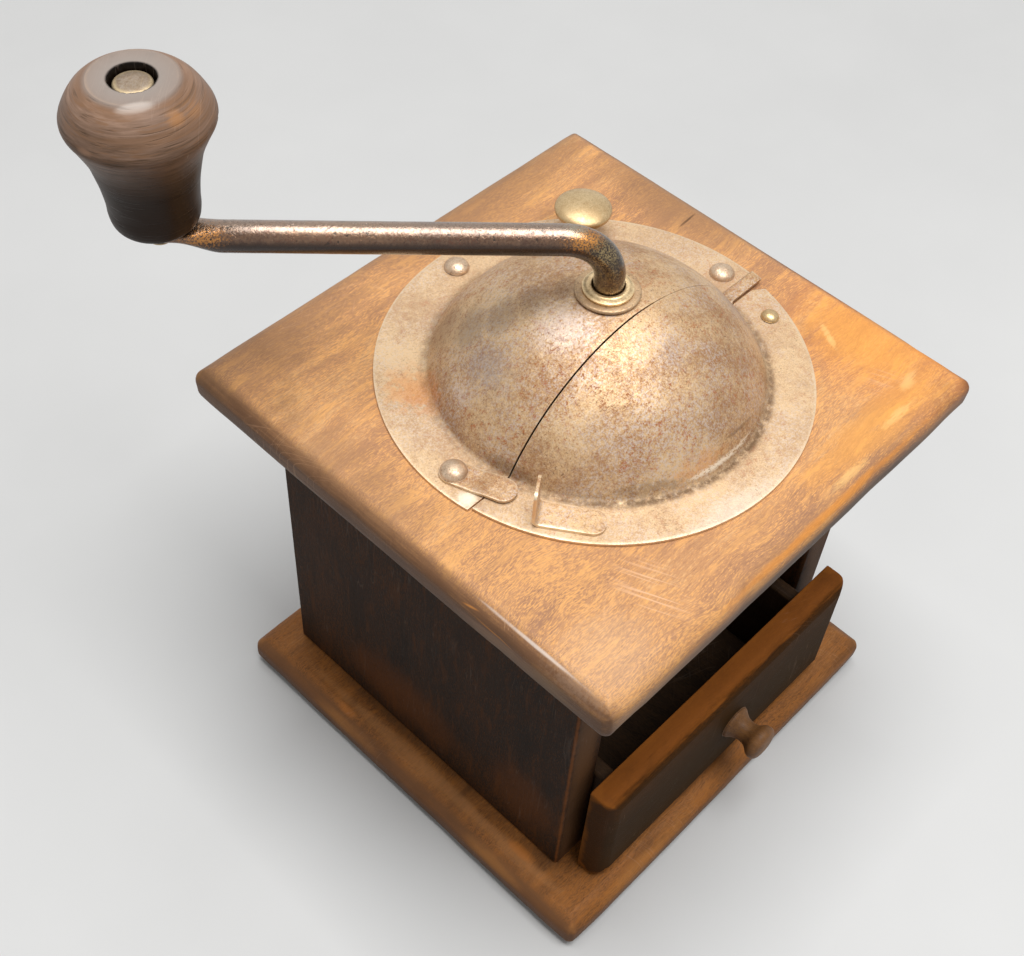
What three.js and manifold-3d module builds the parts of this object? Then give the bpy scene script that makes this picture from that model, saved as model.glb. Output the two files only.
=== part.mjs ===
// Hand cranked box mill for coffee beans, in millimetres, +Z up.
// The origin is the middle of the case on the underside of the base board. The drawer faces -Y.
import * as THREE from 'three';
import { mergeVertices } from 'three/addons/utils/BufferGeometryUtils.js';
import Module from 'manifold-3d';

const wasm = await Module();
wasm.setup();

// Case boards
const BASE_WIDTH = 145;
const BASE_DEPTH = 142;
const BASE_THICKNESS = 12;
const BASE_RIGHT = 0.5;
const BASE_FORWARD = 2.7;
const TOP_WIDTH = 149.6;
const TOP_DEPTH = 147;
const TOP_RIGHT = 0.3;
const TOP_THICKNESS = 12.5;
const BOARD_EDGE_ROUND = 4.8;
const BOARD_CORNER_ROUND = 2.5;
const CASE_WIDTH = 118.6;
const CASE_DEPTH = 113.4;
const CASE_HEIGHT = 114;
const CASE_BACKWARD = 1.4;
const WALL_THICKNESS = 12.5;
const BACK_THICKNESS = 10;
const FRONT_PANEL_THICKNESS = 6;
const FRONT_PANEL_RECESS = 6;
const DRAWER_OPENING_HEIGHT = 41.5;
const ARRIS = 0.8;
const GLUE_GAP = 0.05;

// Case screws, up through the base into the walls
const CASE_SCREW_RADIUS = 1.75;
const CASE_SCREW_HEAD_RADIUS = 3.6;
const CASE_SCREW_HEAD_HEIGHT = 2.2;
const CASE_SCREW_SLOT_WIDTH = 0.8;
const CASE_SCREW_SLOT_DEPTH = 0.9;
const CASE_SCREW_BITE = 18;
const CASE_SCREW_INSET = 18.7;
const SCREW_CLEARANCE = 0.1;

// Drawer
const DRAWER_REST_OPENING = 4.5;
const DRAWER_FRONT_WIDTH = 110;
const DRAWER_FRONT_HEIGHT = 45.5;
const DRAWER_FRONT_THICKNESS = 8.4;
const DRAWER_FRONT_ROUND = 4;
const DRAWER_BOX_HEIGHT = 38;
const DRAWER_WALL = 5;
const DRAWER_FLOOR = 3;
const DRAWER_SIDE_CLEARANCE = 0.8;
const DRAWER_FLOOR_CLEARANCE = 0.5;
const DRAWER_FRONT_LIFT = 1;
const DRAWER_STOP_GAP = 1.5;
const PULL_RIGHT = 3.4;
const PULL_RADIUS = 5.7;
const PULL_NECK_RADIUS = 3.6;
const PULL_LENGTH = 12.2;
const PULL_SCREW_RADIUS = 1.6;
const PULL_SCREW_HEAD_RADIUS = 3.6;
const PULL_SCREW_HEAD_HEIGHT = 1.6;
const PULL_SCREW_BITE = 8;

// Mill, set a little off the middle of the top board
const MILL_RIGHT = 2.4;
const MILL_FORWARD = 0.8;
const SHEET = 0.8;
const FLANGE_RADIUS = 59;
const LID_FLANGE_INSET = 1;
const DOME_FOOT_RADIUS = 45.5;
const DOME_HEIGHT = 29;
const DOME_HOLE_RADIUS = 5.7;
const DOME_FOOT_FILLET = 1.8;
const SEAM_FORWARD = 9.9;
const SEAM_GAP = 0.5;
const LID_LIFT = 0.15;
const LID_COVER_GAP = 0.2;
const LID_SWING_CLEARANCE = 0.4;
const JOGGLE_LENGTH = 3.6;
const FIXING_RADIUS = 52.7;
const LEFT_NAIL_DEG = 179.3;
const BACK_NAIL_DEG = 90;
const RIGHT_NAIL_DEG = 0;
const NAIL_HEAD_RADIUS = 3.7;
const NAIL_HEAD_HEIGHT = 2.3;
const NAIL_SHANK_RADIUS = 1.1;
const NAIL_BITE = 8;
const NAIL_CLEARANCE = 0.1;
const PIVOT_ANGLE_DEG = -22.5;
const PIVOT_HEAD_RADIUS = 2.6;
const PIVOT_HEAD_HEIGHT = 1.7;
const PIVOT_SHANK_RADIUS = 1.4;
const PIVOT_CLEARANCE = 0.15;

// Clip over the left end of the lid, and the finger tab on the lid
const CLIP_WIDTH = 7.4;
const CLIP_LENGTH = 17;
const CLIP_HEADING_DEG = -70.3;
const CLIP_TAIL = 3.8;
const CLIP_JOGGLE = 0.45;
const CLIP_JOGGLE_AT = 8;
const CLIP_JOGGLE_RUN = 1.5;
const TAB_WIDTH = 7.7;
const TAB_LENGTH = 18;
const TAB_HEIGHT = 11.4;
const TAB_HEADING_DEG = -55.5;
const TAB_ANGLE_DEG = 204.6;
const TAB_RADIUS = 52.4;
const TAB_TIP_ROUND = 3.6;
const FINGER_TIP_ROUND = 1.4;

// Brass knob screwed through the rear flange
const BRASS_ANGLE_DEG = 47;
const BRASS_HEAD_RADIUS = 8.2;
const BRASS_HEAD_HEIGHT = 4.2;
const BRASS_NECK_RADIUS = 2.4;
const BRASS_FOOT_RADIUS = 4.2;
const BRASS_FOOT_HEIGHT = 1.4;
const BRASS_HEIGHT = 11.5;
const BRASS_SHANK_RADIUS = 1.5;

// Bush at the top of the dome
const BUSH_WALL = 1.1;
const BUSH_COLLAR_RADIUS = 6.6;
const BUSH_COLLAR_HEIGHT = 1.5;
const BUSH_LIP_RADIUS = 7;
const BUSH_LIP_HEIGHT = 0.8;
const BUSH_LIP_GAP = 0.2;
const WASHER_RADIUS = 8.5;
const WASHER_THICKNESS = 0.9;
const WASHER_HOLE_CLEARANCE = 0.1;

// Hopper bowl under the dome
const BOARD_HOLE_CLEARANCE = 1;
const BOWL_RIM_RADIUS = 47;
const BOWL_WALL_GAP = 0.5;
const BOWL_BOTTOM_SHARE = 0.8;
const BOWL_DEPTH = 40;
const BOWL_REBATE = 1;
const BOWL_RIM_CLEARANCE = 0.3;
const BOWL_OUTLET_LIP = 2;

// Burrs
const RING_FLANGE_INSET = 0.6;
const RING_FLANGE_THICKNESS = 3.2;
const RING_HEIGHT = 19;
const RING_TOP_WALL = 3;
const RING_BOTTOM_WALL = 4.9;
const RING_TOOTH_DEPTH = 1.4;
const RING_TEETH = 24;
const RING_TWIST_DEG = -20;
const CONE_HEIGHT = 22;
const CONE_TOP_WALL = 3.6;
const CONE_SHOULDER_SHARE = 0.58;
const CONE_FINE_SHARE = 0.58;
const CONE_FINE_TEETH = 20;
const CONE_FINE_DEPTH = 1.3;
const CONE_COARSE_TEETH = 5;
const CONE_COARSE_DEPTH = 3;
const CONE_TWIST_DEG = 55;
const CONE_RISE_GAP = 0.6;
const BURR_GAP = 0.6;
const TOOTH_CREST_SHARE = 0.18;
const TOOTH_ROOT_SHARE = 0.42;

// Spindle, crank and its rod
const ROD_RADIUS = 4;
const ROD_CLEARANCE = 0.3;
const PRESS_CLEARANCE = 0.08;
const ARM_HEIGHT = 45.6;
const ARM_LENGTH = 108;
const ARM_HEADING_DEG = 136.1;
const ARM_BEND_RADIUS = 12;
const EYE_RADIUS = 4.7;
const EYE_THICKNESS = 3.8;
const EYE_TAPER = 17;
const EYE_WIDENING = 1.12;

// Lower bearing, its adjusting screw and detent
const BRIDGE_WIDTH = 14;
const BRIDGE_STRIP = 2.3;
const BRIDGE_CLEARANCE = 0.5;
const BRIDGE_DROP = 29;
const BRIDGE_EAR = 6.3;
const BRIDGE_BEND_ROUND = 4;
const BEARING_BOSS_RADIUS = 8;
const BEARING_BOSS_ABOVE = 3;
const BEARING_BOSS_BELOW = 3.5;
const JOURNAL_DEPTH_SHARE = 0.4;
const RIVET_RADIUS = 1.6;
const RIVET_HEAD_RADIUS = 2.9;
const RIVET_HEAD_HEIGHT = 1.3;
const RIVET_MARGIN = 0.4;
const ADJUSTER_HEAD_RADIUS = 9.5;
const ADJUSTER_HEAD_THICKNESS = 4;
const ADJUSTER_NOTCHES = 16;
const ADJUSTER_NOTCH_DEPTH = 0.9;
const SPRING_THICKNESS = 0.6;
const SPRING_WIDTH = 5;
const SPRING_FOOT = 5.9;

// Wooden handle on its pin
const HANDLE_HEIGHT = 40.3;
const HANDLE_RADIUS = 17.3;
const HANDLE_GAP = 0.4;
const HANDLE_RECESS_RADIUS = 5.2;
const HANDLE_RECESS_DEPTH = 4.2;
const HANDLE_PROFILE_SHARES = [
  [0.393, 0], [0.514, 0.025], [0.595, 0.062], [0.624, 0.124], [0.63, 0.199],
  [0.653, 0.285], [0.685, 0.372], [0.734, 0.471], [0.766, 0.521], [0.809, 0.571],
  [0.861, 0.62], [0.931, 0.682], [0.988, 0.732], [1, 0.769], [0.968, 0.811],
  [0.899, 0.868], [0.821, 0.918], [0.723, 0.958], [0.624, 0.985], [0.572, 1],
];
const PIN_RADIUS = 2.4;
const PIN_HEAD_RADIUS = 4.5;
const PIN_HEAD_HEIGHT = 1.8;
const PIN_HEAD_DEPTH = 1.2;
const PIN_FOOT_RADIUS = 3.2;
const PIN_FOOT_HEIGHT = 0.7;
const PIN_CLEARANCE = 0.3;

// Facets and cutting
const OVERRUN = 5;
const MERGE_DISTANCE = 0.0001;
const FINE_SIDES = 60;
const BOWL_SIDES = 36;
const ROUND_SIDES = 28;
const ROD_SIDES = 20;
const SMALL_SIDES = 12;
const EDGE_STEPS = 4;
const DOME_STEPS = 8;
const BOWL_STEPS = 5;
const BURR_STEPS = 4;
const BEND_STEPS = 7;
const ARC_STEPS = 4;

const X = new THREE.Vector3(1, 0, 0);
const Y = new THREE.Vector3(0, 1, 0);
const Z = new THREE.Vector3(0, 0, 1);

// Heights of the case, from the underside of the base
const WALL_FOOT = BASE_THICKNESS + GLUE_GAP;
const TOP_UNDERSIDE = WALL_FOOT + CASE_HEIGHT + GLUE_GAP;
const TOP_FACE = TOP_UNDERSIDE + TOP_THICKNESS;
const CASE_FRONT = CASE_BACKWARD - CASE_DEPTH / 2;
const CASE_BACK = CASE_BACKWARD + CASE_DEPTH / 2;
const CASE_INNER_WIDTH = CASE_WIDTH - 2 * WALL_THICKNESS;
const FRONT_PANEL_BACK = CASE_FRONT + FRONT_PANEL_RECESS + FRONT_PANEL_THICKNESS;

// Radii of the works, which fit between the walls of the case, from the bowl inwards
const ROOM_TO_WALL = CASE_INNER_WIDTH / 2 - Math.abs(MILL_RIGHT);
const ROOM_TO_PANEL = -MILL_FORWARD - FRONT_PANEL_BACK;
const BOWL_MOUTH_RADIUS = Math.min(ROOM_TO_WALL, ROOM_TO_PANEL) - BOWL_WALL_GAP;
const BOARD_HOLE_RADIUS = BOWL_MOUTH_RADIUS + BOARD_HOLE_CLEARANCE;
const BOWL_BOTTOM_RADIUS = BOWL_MOUTH_RADIUS * BOWL_BOTTOM_SHARE;
const RIVET_REACH = BOWL_BOTTOM_RADIUS - SHEET - RIVET_HEAD_RADIUS - RIVET_MARGIN;
const BRIDGE_REACH = RIVET_REACH - RIVET_HEAD_RADIUS - ROD_CLEARANCE;
const RING_FLANGE_RADIUS = BOWL_BOTTOM_RADIUS - RING_FLANGE_INSET;
const RING_OUTER_RADIUS = BRIDGE_REACH - BRIDGE_STRIP - BRIDGE_CLEARANCE;
const RING_TOP_RADIUS = RING_OUTER_RADIUS - RING_TOP_WALL;
const RING_BOTTOM_RADIUS = RING_OUTER_RADIUS - RING_BOTTOM_WALL;
const BOWL_OUTLET_RADIUS = RING_OUTER_RADIUS - BOWL_OUTLET_LIP;
const CONE_BOTTOM_RADIUS = RING_BOTTOM_RADIUS - RING_TOOTH_DEPTH - BURR_GAP;
const CONE_TOP_RADIUS = ROD_RADIUS + CONE_TOP_WALL;
const CONE_SHOULDER_RADIUS = CONE_TOP_RADIUS + (CONE_BOTTOM_RADIUS - CONE_TOP_RADIUS) * CONE_SHOULDER_SHARE;

// Heights of the mill, from the top face of the top board
const LID_TOP = LID_LIFT + SHEET;
const COVER_UNDERSIDE = LID_TOP + LID_COVER_GAP;
const BOWL_UNDERSIDE = -BOWL_DEPTH - SHEET;
const RING_TOP = BOWL_UNDERSIDE - GLUE_GAP;
const RING_BOTTOM = RING_TOP - RING_HEIGHT;
const CONE_BOTTOM = RING_BOTTOM + CONE_RISE_GAP;
const BRIDGE_EAR_TOP = RING_TOP - RING_FLANGE_THICKNESS - GLUE_GAP;
const BRIDGE_FLOOR_TOP = BRIDGE_EAR_TOP - BRIDGE_DROP;
const BRIDGE_FLOOR_BOTTOM = BRIDGE_FLOOR_TOP - BRIDGE_STRIP;
const BOSS_TOP = BRIDGE_FLOOR_TOP + BEARING_BOSS_ABOVE;
const BOSS_BOTTOM = BRIDGE_FLOOR_BOTTOM - BEARING_BOSS_BELOW;
const SPINDLE_FOOT = BOSS_TOP - JOURNAL_DEPTH_SHARE * (BOSS_TOP - BOSS_BOTTOM);
const EYE_TOP = ARM_HEIGHT + ROD_RADIUS;
const HANDLE_FOOT = EYE_TOP + HANDLE_GAP;

const NAILS = [
  { side: 'left', degrees: LEFT_NAIL_DEG },
  { side: 'back', degrees: BACK_NAIL_DEG },
  { side: 'right', degrees: RIGHT_NAIL_DEG },
];

const radians = THREE.MathUtils.degToRad;

/** A plain finish. */
function finish(color, roughness, metalness) {
  return new THREE.MeshStandardMaterial({ color, roughness, metalness });
}

const FINISHES = {
  topWood: () => finish(0x9a6232, 0.5, 0),
  caseWood: () => finish(0x3d2618, 0.6, 0),
  baseWood: () => finish(0x6b4326, 0.6, 0),
  drawerWood: () => finish(0x7a5433, 0.6, 0),
  handleWood: () => finish(0x54382a, 0.5, 0),
  domeSteel: () => finish(0x9c8674, 0.5, 0.7),
  rodSteel: () => finish(0x5c463c, 0.4, 0.8),
  nailSteel: () => finish(0xa08c7c, 0.4, 0.8),
  iron: () => finish(0x4a4644, 0.7, 0.6),
  brass: () => finish(0xa98f55, 0.4, 0.8),
};

const mill = new THREE.Group();
mill.name = 'mill_group';
mill.position.set(MILL_RIGHT, -MILL_FORWARD, TOP_FACE);

const object = new THREE.Group();
object.add(mill);

/** Adds a named piece to a group and returns its mesh. */
function piece(group, name, geometry, material) {
  const mesh = new THREE.Mesh(geometry, material());
  mesh.name = name;
  group.add(mesh);
  return mesh;
}

/** Turns a mesh so that its own X and Y run along two given directions, and moves it. */
function place(mesh, alongX, alongY, x, y, z) {
  const alongZ = new THREE.Vector3().crossVectors(alongX, alongY);
  mesh.quaternion.setFromRotationMatrix(new THREE.Matrix4().makeBasis(alongX, alongY, alongZ));
  mesh.position.set(x, y, z);
}

/** A closed geometry as a solid that can be cut and joined. */
function solid(geometry) {
  const bare = geometry.clone();
  bare.deleteAttribute('normal');
  bare.deleteAttribute('uv');
  const merged = mergeVertices(bare, MERGE_DISTANCE);
  const vertProperties = new Float32Array(merged.attributes.position.array);
  const triVerts = new Uint32Array(merged.index.array);
  return new wasm.Manifold(new wasm.Mesh({ numProp: 3, vertProperties, triVerts }));
}

/** A solid as a geometry. */
function surface(body) {
  const mesh = body.getMesh();
  const geometry = new THREE.BufferGeometry();
  geometry.setAttribute('position', new THREE.BufferAttribute(mesh.vertProperties, 3));
  geometry.setIndex(new THREE.BufferAttribute(mesh.triVerts, 1));
  geometry.computeVertexNormals();
  return geometry;
}

/** An upright cylinder from one height to another, over a point. */
function post(radius, from, to, x = 0, y = 0, sides = ROUND_SIDES) {
  const geometry = new THREE.CylinderGeometry(radius, radius, to - from, sides);
  geometry.rotateX(Math.PI / 2);
  geometry.translate(x, y, (from + to) / 2);
  return solid(geometry);
}

/** A block between two corners. */
function block(low, high) {
  const size = new THREE.Vector3().subVectors(high, low);
  const geometry = new THREE.BoxGeometry(size.x, size.y, size.z);
  const middle = new THREE.Vector3().addVectors(low, high).multiplyScalar(1 / 2);
  geometry.translate(middle.x, middle.y, middle.z);
  return solid(geometry);
}

/** A profile of [radius, height] pairs turned about the Z axis. */
function turned(profile, sides) {
  const points = profile.map(([radius, height]) => new THREE.Vector2(radius, height));
  const geometry = new THREE.LatheGeometry(points, sides);
  geometry.rotateX(Math.PI / 2);
  return geometry;
}

/** A closed profile turned about the Z axis, as one solid ring. */
function ring(profile, sides) {
  return turned([...profile, profile[0]], sides);
}

/** A rectangle about the origin. */
function rectangle(width, height) {
  const right = width / 2;
  const top = height / 2;
  const corners = [[-right, -top], [right, -top], [right, top], [-right, top]];
  return new THREE.Shape(corners.map(([x, y]) => new THREE.Vector2(x, y)));
}

/** A rectangle about the origin with round corners. */
function roundedRectangle(width, height, corner) {
  const shape = new THREE.Shape();
  const right = width / 2 - corner;
  const top = height / 2 - corner;
  shape.absarc(right, -top, corner, -Math.PI / 2, 0, false);
  shape.absarc(right, top, corner, 0, Math.PI / 2, false);
  shape.absarc(-right, top, corner, Math.PI / 2, Math.PI, false);
  shape.absarc(-right, -top, corner, Math.PI, Math.PI * 3 / 2, false);
  return shape;
}

/** A circle about the origin as an outline with a set number of sides. */
function disc(radius, sides) {
  return new THREE.Shape(new THREE.Path().absarc(0, 0, radius, 0, 2 * Math.PI, false).getSpacedPoints(sides));
}

/** A board lying flat from z = 0 up, both faces rounded all along their edges and mitred at the corners. */
function board(width, depth, thickness, round, steps) {
  const shape = rectangle(width - 2 * round, depth - 2 * round);
  return new THREE.ExtrudeGeometry(shape, {
    depth: thickness - 2 * round,
    bevelThickness: round,
    bevelSize: round,
    bevelSegments: steps,
  }).translate(0, 0, round);
}

/** A case board: bullnosed all round, its upright corners rounded too. */
function caseBoard(width, depth, thickness) {
  const upright = new THREE.ExtrudeGeometry(roundedRectangle(width, depth, BOARD_CORNER_ROUND), {
    depth: thickness,
    bevelEnabled: false,
    curveSegments: ARC_STEPS,
  });
  const mitred = board(width, depth, thickness, BOARD_EDGE_ROUND, EDGE_STEPS);
  return surface(solid(mitred).intersect(solid(upright)));
}

/** A plain squared board with its sharp edges broken. */
function plank(width, depth, thickness) {
  return board(width, depth, thickness, ARRIS, 1);
}

/** Points of a circular arc, as [radius, height] pairs about a centre. */
function arc(centreRadius, centreHeight, radius, from, to, steps) {
  const points = [];
  for (let i = 0; i <= steps; i += 1) {
    const angle = from + (to - from) * (i / steps);
    points.push([centreRadius + radius * Math.cos(angle), centreHeight + radius * Math.sin(angle)]);
  }
  return points;
}

/** A domed head over a shank, from the shank's point up. */
function domedFixing(headRadius, headHeight, shankRadius, bite) {
  const curve = (headRadius ** 2 + headHeight ** 2) / (2 * headHeight);
  const rim = Math.asin((curve - headHeight) / curve);
  const head = arc(0, headHeight - curve, curve, rim, Math.PI / 2, ARC_STEPS);
  head[head.length - 1][0] = 0;
  return turned([[0, -bite - shankRadius], [shankRadius, -bite], [shankRadius, 0], ...head], SMALL_SIDES);
}

/** Where a fixing stands on the flange. */
function onFlange(degrees, radius = FIXING_RADIUS) {
  return new THREE.Vector2(Math.cos(radians(degrees)), Math.sin(radians(degrees))).multiplyScalar(radius);
}

const CASE_SCREWS = [-1, 1].flatMap((side) => [-1, 1].map((end) => ({
  name: `case_screw_${end < 0 ? 'front' : 'back'}_${side < 0 ? 'left' : 'right'}`,
  x: side * (CASE_WIDTH - WALL_THICKNESS) / 2,
  y: CASE_BACKWARD + end * (CASE_DEPTH / 2 - CASE_SCREW_INSET),
})));

/** Clearance holes for the case screws, through whatever stands over them. */
function drillForScrews(body, keep = () => true) {
  const radius = CASE_SCREW_RADIUS + SCREW_CLEARANCE;
  const top = WALL_FOOT + CASE_SCREW_BITE + SCREW_CLEARANCE;
  let drilled = body;
  for (const { x, y } of CASE_SCREWS.filter(keep)) {
    drilled = drilled.subtract(post(radius, -OVERRUN, top, x, y, SMALL_SIDES));
  }
  return drilled;
}

function addBase() {
  const geometry = caseBoard(BASE_WIDTH, BASE_DEPTH, BASE_THICKNESS);
  geometry.translate(BASE_RIGHT, -BASE_FORWARD, 0);
  let body = drillForScrews(solid(geometry));
  for (const { x, y } of CASE_SCREWS) {
    const sink = CASE_SCREW_HEAD_HEIGHT + SCREW_CLEARANCE;
    body = body.subtract(post(CASE_SCREW_HEAD_RADIUS + SCREW_CLEARANCE, -OVERRUN, sink, x, y, SMALL_SIDES));
  }
  piece(object, 'base_board', surface(body), FINISHES.baseWood);
}

function addCaseScrews() {
  const tip = WALL_FOOT + CASE_SCREW_BITE;
  const shank = post(CASE_SCREW_RADIUS, CASE_SCREW_HEAD_HEIGHT / 2, tip, 0, 0, SMALL_SIDES);
  const head = post(CASE_SCREW_HEAD_RADIUS, 0, CASE_SCREW_HEAD_HEIGHT, 0, 0, SMALL_SIDES);
  const slot = block(
    new THREE.Vector3(-CASE_SCREW_HEAD_RADIUS - OVERRUN, -CASE_SCREW_SLOT_WIDTH / 2, -OVERRUN),
    new THREE.Vector3(CASE_SCREW_HEAD_RADIUS + OVERRUN, CASE_SCREW_SLOT_WIDTH / 2, CASE_SCREW_SLOT_DEPTH),
  );
  const screw = surface(shank.add(head).subtract(slot));
  for (const { name, x, y } of CASE_SCREWS) {
    piece(object, name, screw.clone(), FINISHES.iron).position.set(x, y, 0);
  }
}

function addSideWalls() {
  for (const [name, side] of [['side_wall_left', -1], ['side_wall_right', 1]]) {
    const wall = new THREE.Mesh(plank(CASE_DEPTH, CASE_HEIGHT, WALL_THICKNESS));
    const inward = side * (CASE_WIDTH / 2) - WALL_THICKNESS * (side > 0 ? 1 : 0);
    place(wall, Y, Z, inward, CASE_BACKWARD, WALL_FOOT + CASE_HEIGHT / 2);
    wall.updateMatrix();
    const body = drillForScrews(solid(wall.geometry.applyMatrix4(wall.matrix)), ({ x }) => x * side > 0);
    piece(object, name, surface(body), FINISHES.caseWood);
  }
}

function addBackWall() {
  const geometry = plank(CASE_INNER_WIDTH - 2 * GLUE_GAP, CASE_HEIGHT, BACK_THICKNESS);
  const wall = piece(object, 'back_wall', geometry, FINISHES.caseWood);
  place(wall, X, Z, 0, CASE_BACK, WALL_FOOT + CASE_HEIGHT / 2);
}

function addFrontPanel() {
  const height = CASE_HEIGHT - DRAWER_OPENING_HEIGHT;
  const geometry = plank(CASE_INNER_WIDTH - 2 * GLUE_GAP, height, FRONT_PANEL_THICKNESS);
  const panel = piece(object, 'front_panel', geometry, FINISHES.caseWood);
  place(panel, X, Z, 0, FRONT_PANEL_BACK, WALL_FOOT + DRAWER_OPENING_HEIGHT + height / 2);
}

function addTopBoard() {
  const geometry = caseBoard(TOP_WIDTH, TOP_DEPTH, TOP_THICKNESS);
  geometry.translate(TOP_RIGHT - MILL_RIGHT, MILL_FORWARD, -TOP_THICKNESS);
  let body = solid(geometry);
  body = body.subtract(post(BOARD_HOLE_RADIUS, -TOP_THICKNESS - OVERRUN, OVERRUN, 0, 0, FINE_SIDES));
  body = body.subtract(post(BOWL_RIM_RADIUS + BOWL_RIM_CLEARANCE, -BOWL_REBATE, OVERRUN, 0, 0, FINE_SIDES));
  const holes = [
    ...NAILS.map(({ degrees }) => [degrees, NAIL_SHANK_RADIUS]),
    [BRASS_ANGLE_DEG, BRASS_SHANK_RADIUS],
    [PIVOT_ANGLE_DEG, PIVOT_SHANK_RADIUS],
  ];
  for (const [degrees, radius] of holes) {
    const at = onFlange(degrees);
    const depth = NAIL_BITE + radius + NAIL_CLEARANCE;
    body = body.subtract(post(radius + NAIL_CLEARANCE, -depth, OVERRUN, at.x, at.y, SMALL_SIDES));
  }
  piece(mill, 'top_board', surface(body), FINISHES.topWood);
}

/** The domed sheet with its flat flange, before it is parted along the seam. */
function domeSheet(flangeRadius, lift) {
  const curve = (DOME_FOOT_RADIUS ** 2 + DOME_HEIGHT ** 2) / (2 * DOME_HEIGHT);
  const centre = DOME_HEIGHT - curve + lift;
  const inner = curve - SHEET;
  const filletHeight = lift + SHEET + DOME_FOOT_FILLET;
  const footAngle = Math.asin((filletHeight - centre) / curve);
  const innerFoot = Math.asin((lift - centre) / inner);
  const outerTop = Math.acos(DOME_HOLE_RADIUS / curve);
  const innerTop = Math.acos(DOME_HOLE_RADIUS / inner);
  const footRadius = curve * Math.cos(footAngle);
  const profile = [
    [flangeRadius, lift],
    [flangeRadius, lift + SHEET],
    [footRadius + DOME_FOOT_FILLET, lift + SHEET],
    [footRadius + DOME_FOOT_FILLET / 3, lift + SHEET + DOME_FOOT_FILLET / 3],
    ...arc(0, centre, curve, footAngle, outerTop, DOME_STEPS),
    ...arc(0, centre, inner, innerTop, innerFoot, DOME_STEPS),
  ];
  return solid(ring(profile, FINE_SIDES));
}

/** Everything in front of a line across the mill, or behind it. */
function half(front, line) {
  const reach = FLANGE_RADIUS + OVERRUN;
  const low = new THREE.Vector3(-reach, front ? -reach : line, -OVERRUN);
  const high = new THREE.Vector3(reach, front ? line : reach, DOME_HEIGHT + OVERRUN);
  return block(low, high);
}

/** The part of the flange between two lines across it, right of the dome, from one height to another. */
function flangeEnd(from, to, low, high) {
  const ringPart = post(FLANGE_RADIUS, low, high, 0, 0, FINE_SIDES)
    .subtract(post(DOME_FOOT_RADIUS - SHEET / 2, low - OVERRUN, high + OVERRUN, 0, 0, FINE_SIDES));
  return ringPart.intersect(block(
    new THREE.Vector3(DOME_FOOT_RADIUS - SHEET, from, low - OVERRUN),
    new THREE.Vector3(FLANGE_RADIUS + OVERRUN, to, high + OVERRUN),
  ));
}

/** A hole through the flange for something that stands on it. */
function flangeHole(degrees, radius) {
  const at = onFlange(degrees);
  return post(radius, -OVERRUN, OVERRUN, at.x, at.y, SMALL_SIDES);
}

function addDomeShell() {
  const seam = -SEAM_FORWARD + SEAM_GAP / 2;
  const step = seam + JOGGLE_LENGTH;
  const coverTop = COVER_UNDERSIDE + SHEET;
  const tail = block(
    new THREE.Vector3(DOME_FOOT_RADIUS + SHEET, seam - OVERRUN, -OVERRUN),
    new THREE.Vector3(FLANGE_RADIUS + OVERRUN, step, COVER_UNDERSIDE),
  );
  let body = domeSheet(FLANGE_RADIUS, GLUE_GAP)
    .intersect(half(false, seam))
    .subtract(tail)
    .add(flangeEnd(seam, step + SHEET, COVER_UNDERSIDE, coverTop))
    .add(flangeEnd(step, step + SHEET, GLUE_GAP, coverTop))
    .subtract(flangeHole(BRASS_ANGLE_DEG, BRASS_SHANK_RADIUS + NAIL_CLEARANCE));
  for (const { degrees } of NAILS) {
    body = body.subtract(flangeHole(degrees, NAIL_SHANK_RADIUS + NAIL_CLEARANCE));
  }
  piece(mill, 'dome_shell', surface(body), FINISHES.domeSteel);
}

/** The corner of the lid's flange that would meet the foot of the dome as the lid swings. */
function lidSwingCorner() {
  const pivot = onFlange(PIVOT_ANGLE_DEG);
  const foot = DOME_FOOT_RADIUS + SHEET;
  const seam = -SEAM_FORWARD + SEAM_GAP / 2;
  const meeting = new THREE.Vector2(Math.sqrt(foot ** 2 - seam ** 2), seam);
  const reach = meeting.distanceTo(pivot) - LID_SWING_CLEARANCE;
  return block(
    new THREE.Vector3(pivot.x, pivot.y, -OVERRUN),
    new THREE.Vector3(FLANGE_RADIUS + OVERRUN, 0, OVERRUN),
  ).subtract(post(reach, -OVERRUN * 2, OVERRUN * 2, pivot.x, pivot.y, FINE_SIDES));
}

function addLidShell() {
  const seam = -SEAM_FORWARD - SEAM_GAP / 2;
  const body = domeSheet(FLANGE_RADIUS - LID_FLANGE_INSET, LID_LIFT)
    .intersect(half(true, seam))
    .subtract(lidSwingCorner())
    .subtract(flangeHole(PIVOT_ANGLE_DEG, PIVOT_SHANK_RADIUS + PIVOT_CLEARANCE));
  piece(mill, 'lid_shell', surface(body), FINISHES.domeSteel);
}

/** A strip seen from above: square at its tail, round at its tip, along +X. */
function tongue(length, tail, width, tipRound) {
  const shape = new THREE.Shape();
  const side = width / 2;
  shape.moveTo(-tail, -side);
  shape.lineTo(length - tipRound, -side);
  shape.absarc(length - tipRound, tipRound - side, tipRound, -Math.PI / 2, 0, false);
  shape.absarc(length - tipRound, side - tipRound, tipRound, 0, Math.PI / 2, false);
  shape.lineTo(-tail, side);
  return shape;
}

/** A side view of points in X and Z, drawn out to both sides along Y. */
function drawnOut(points, width) {
  const shape = new THREE.Shape(points.map(([x, z]) => new THREE.Vector2(x, z)));
  const geometry = new THREE.ExtrudeGeometry(shape, { depth: width, bevelEnabled: false });
  geometry.translate(0, 0, -width / 2);
  geometry.rotateX(Math.PI / 2);
  return geometry;
}

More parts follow.
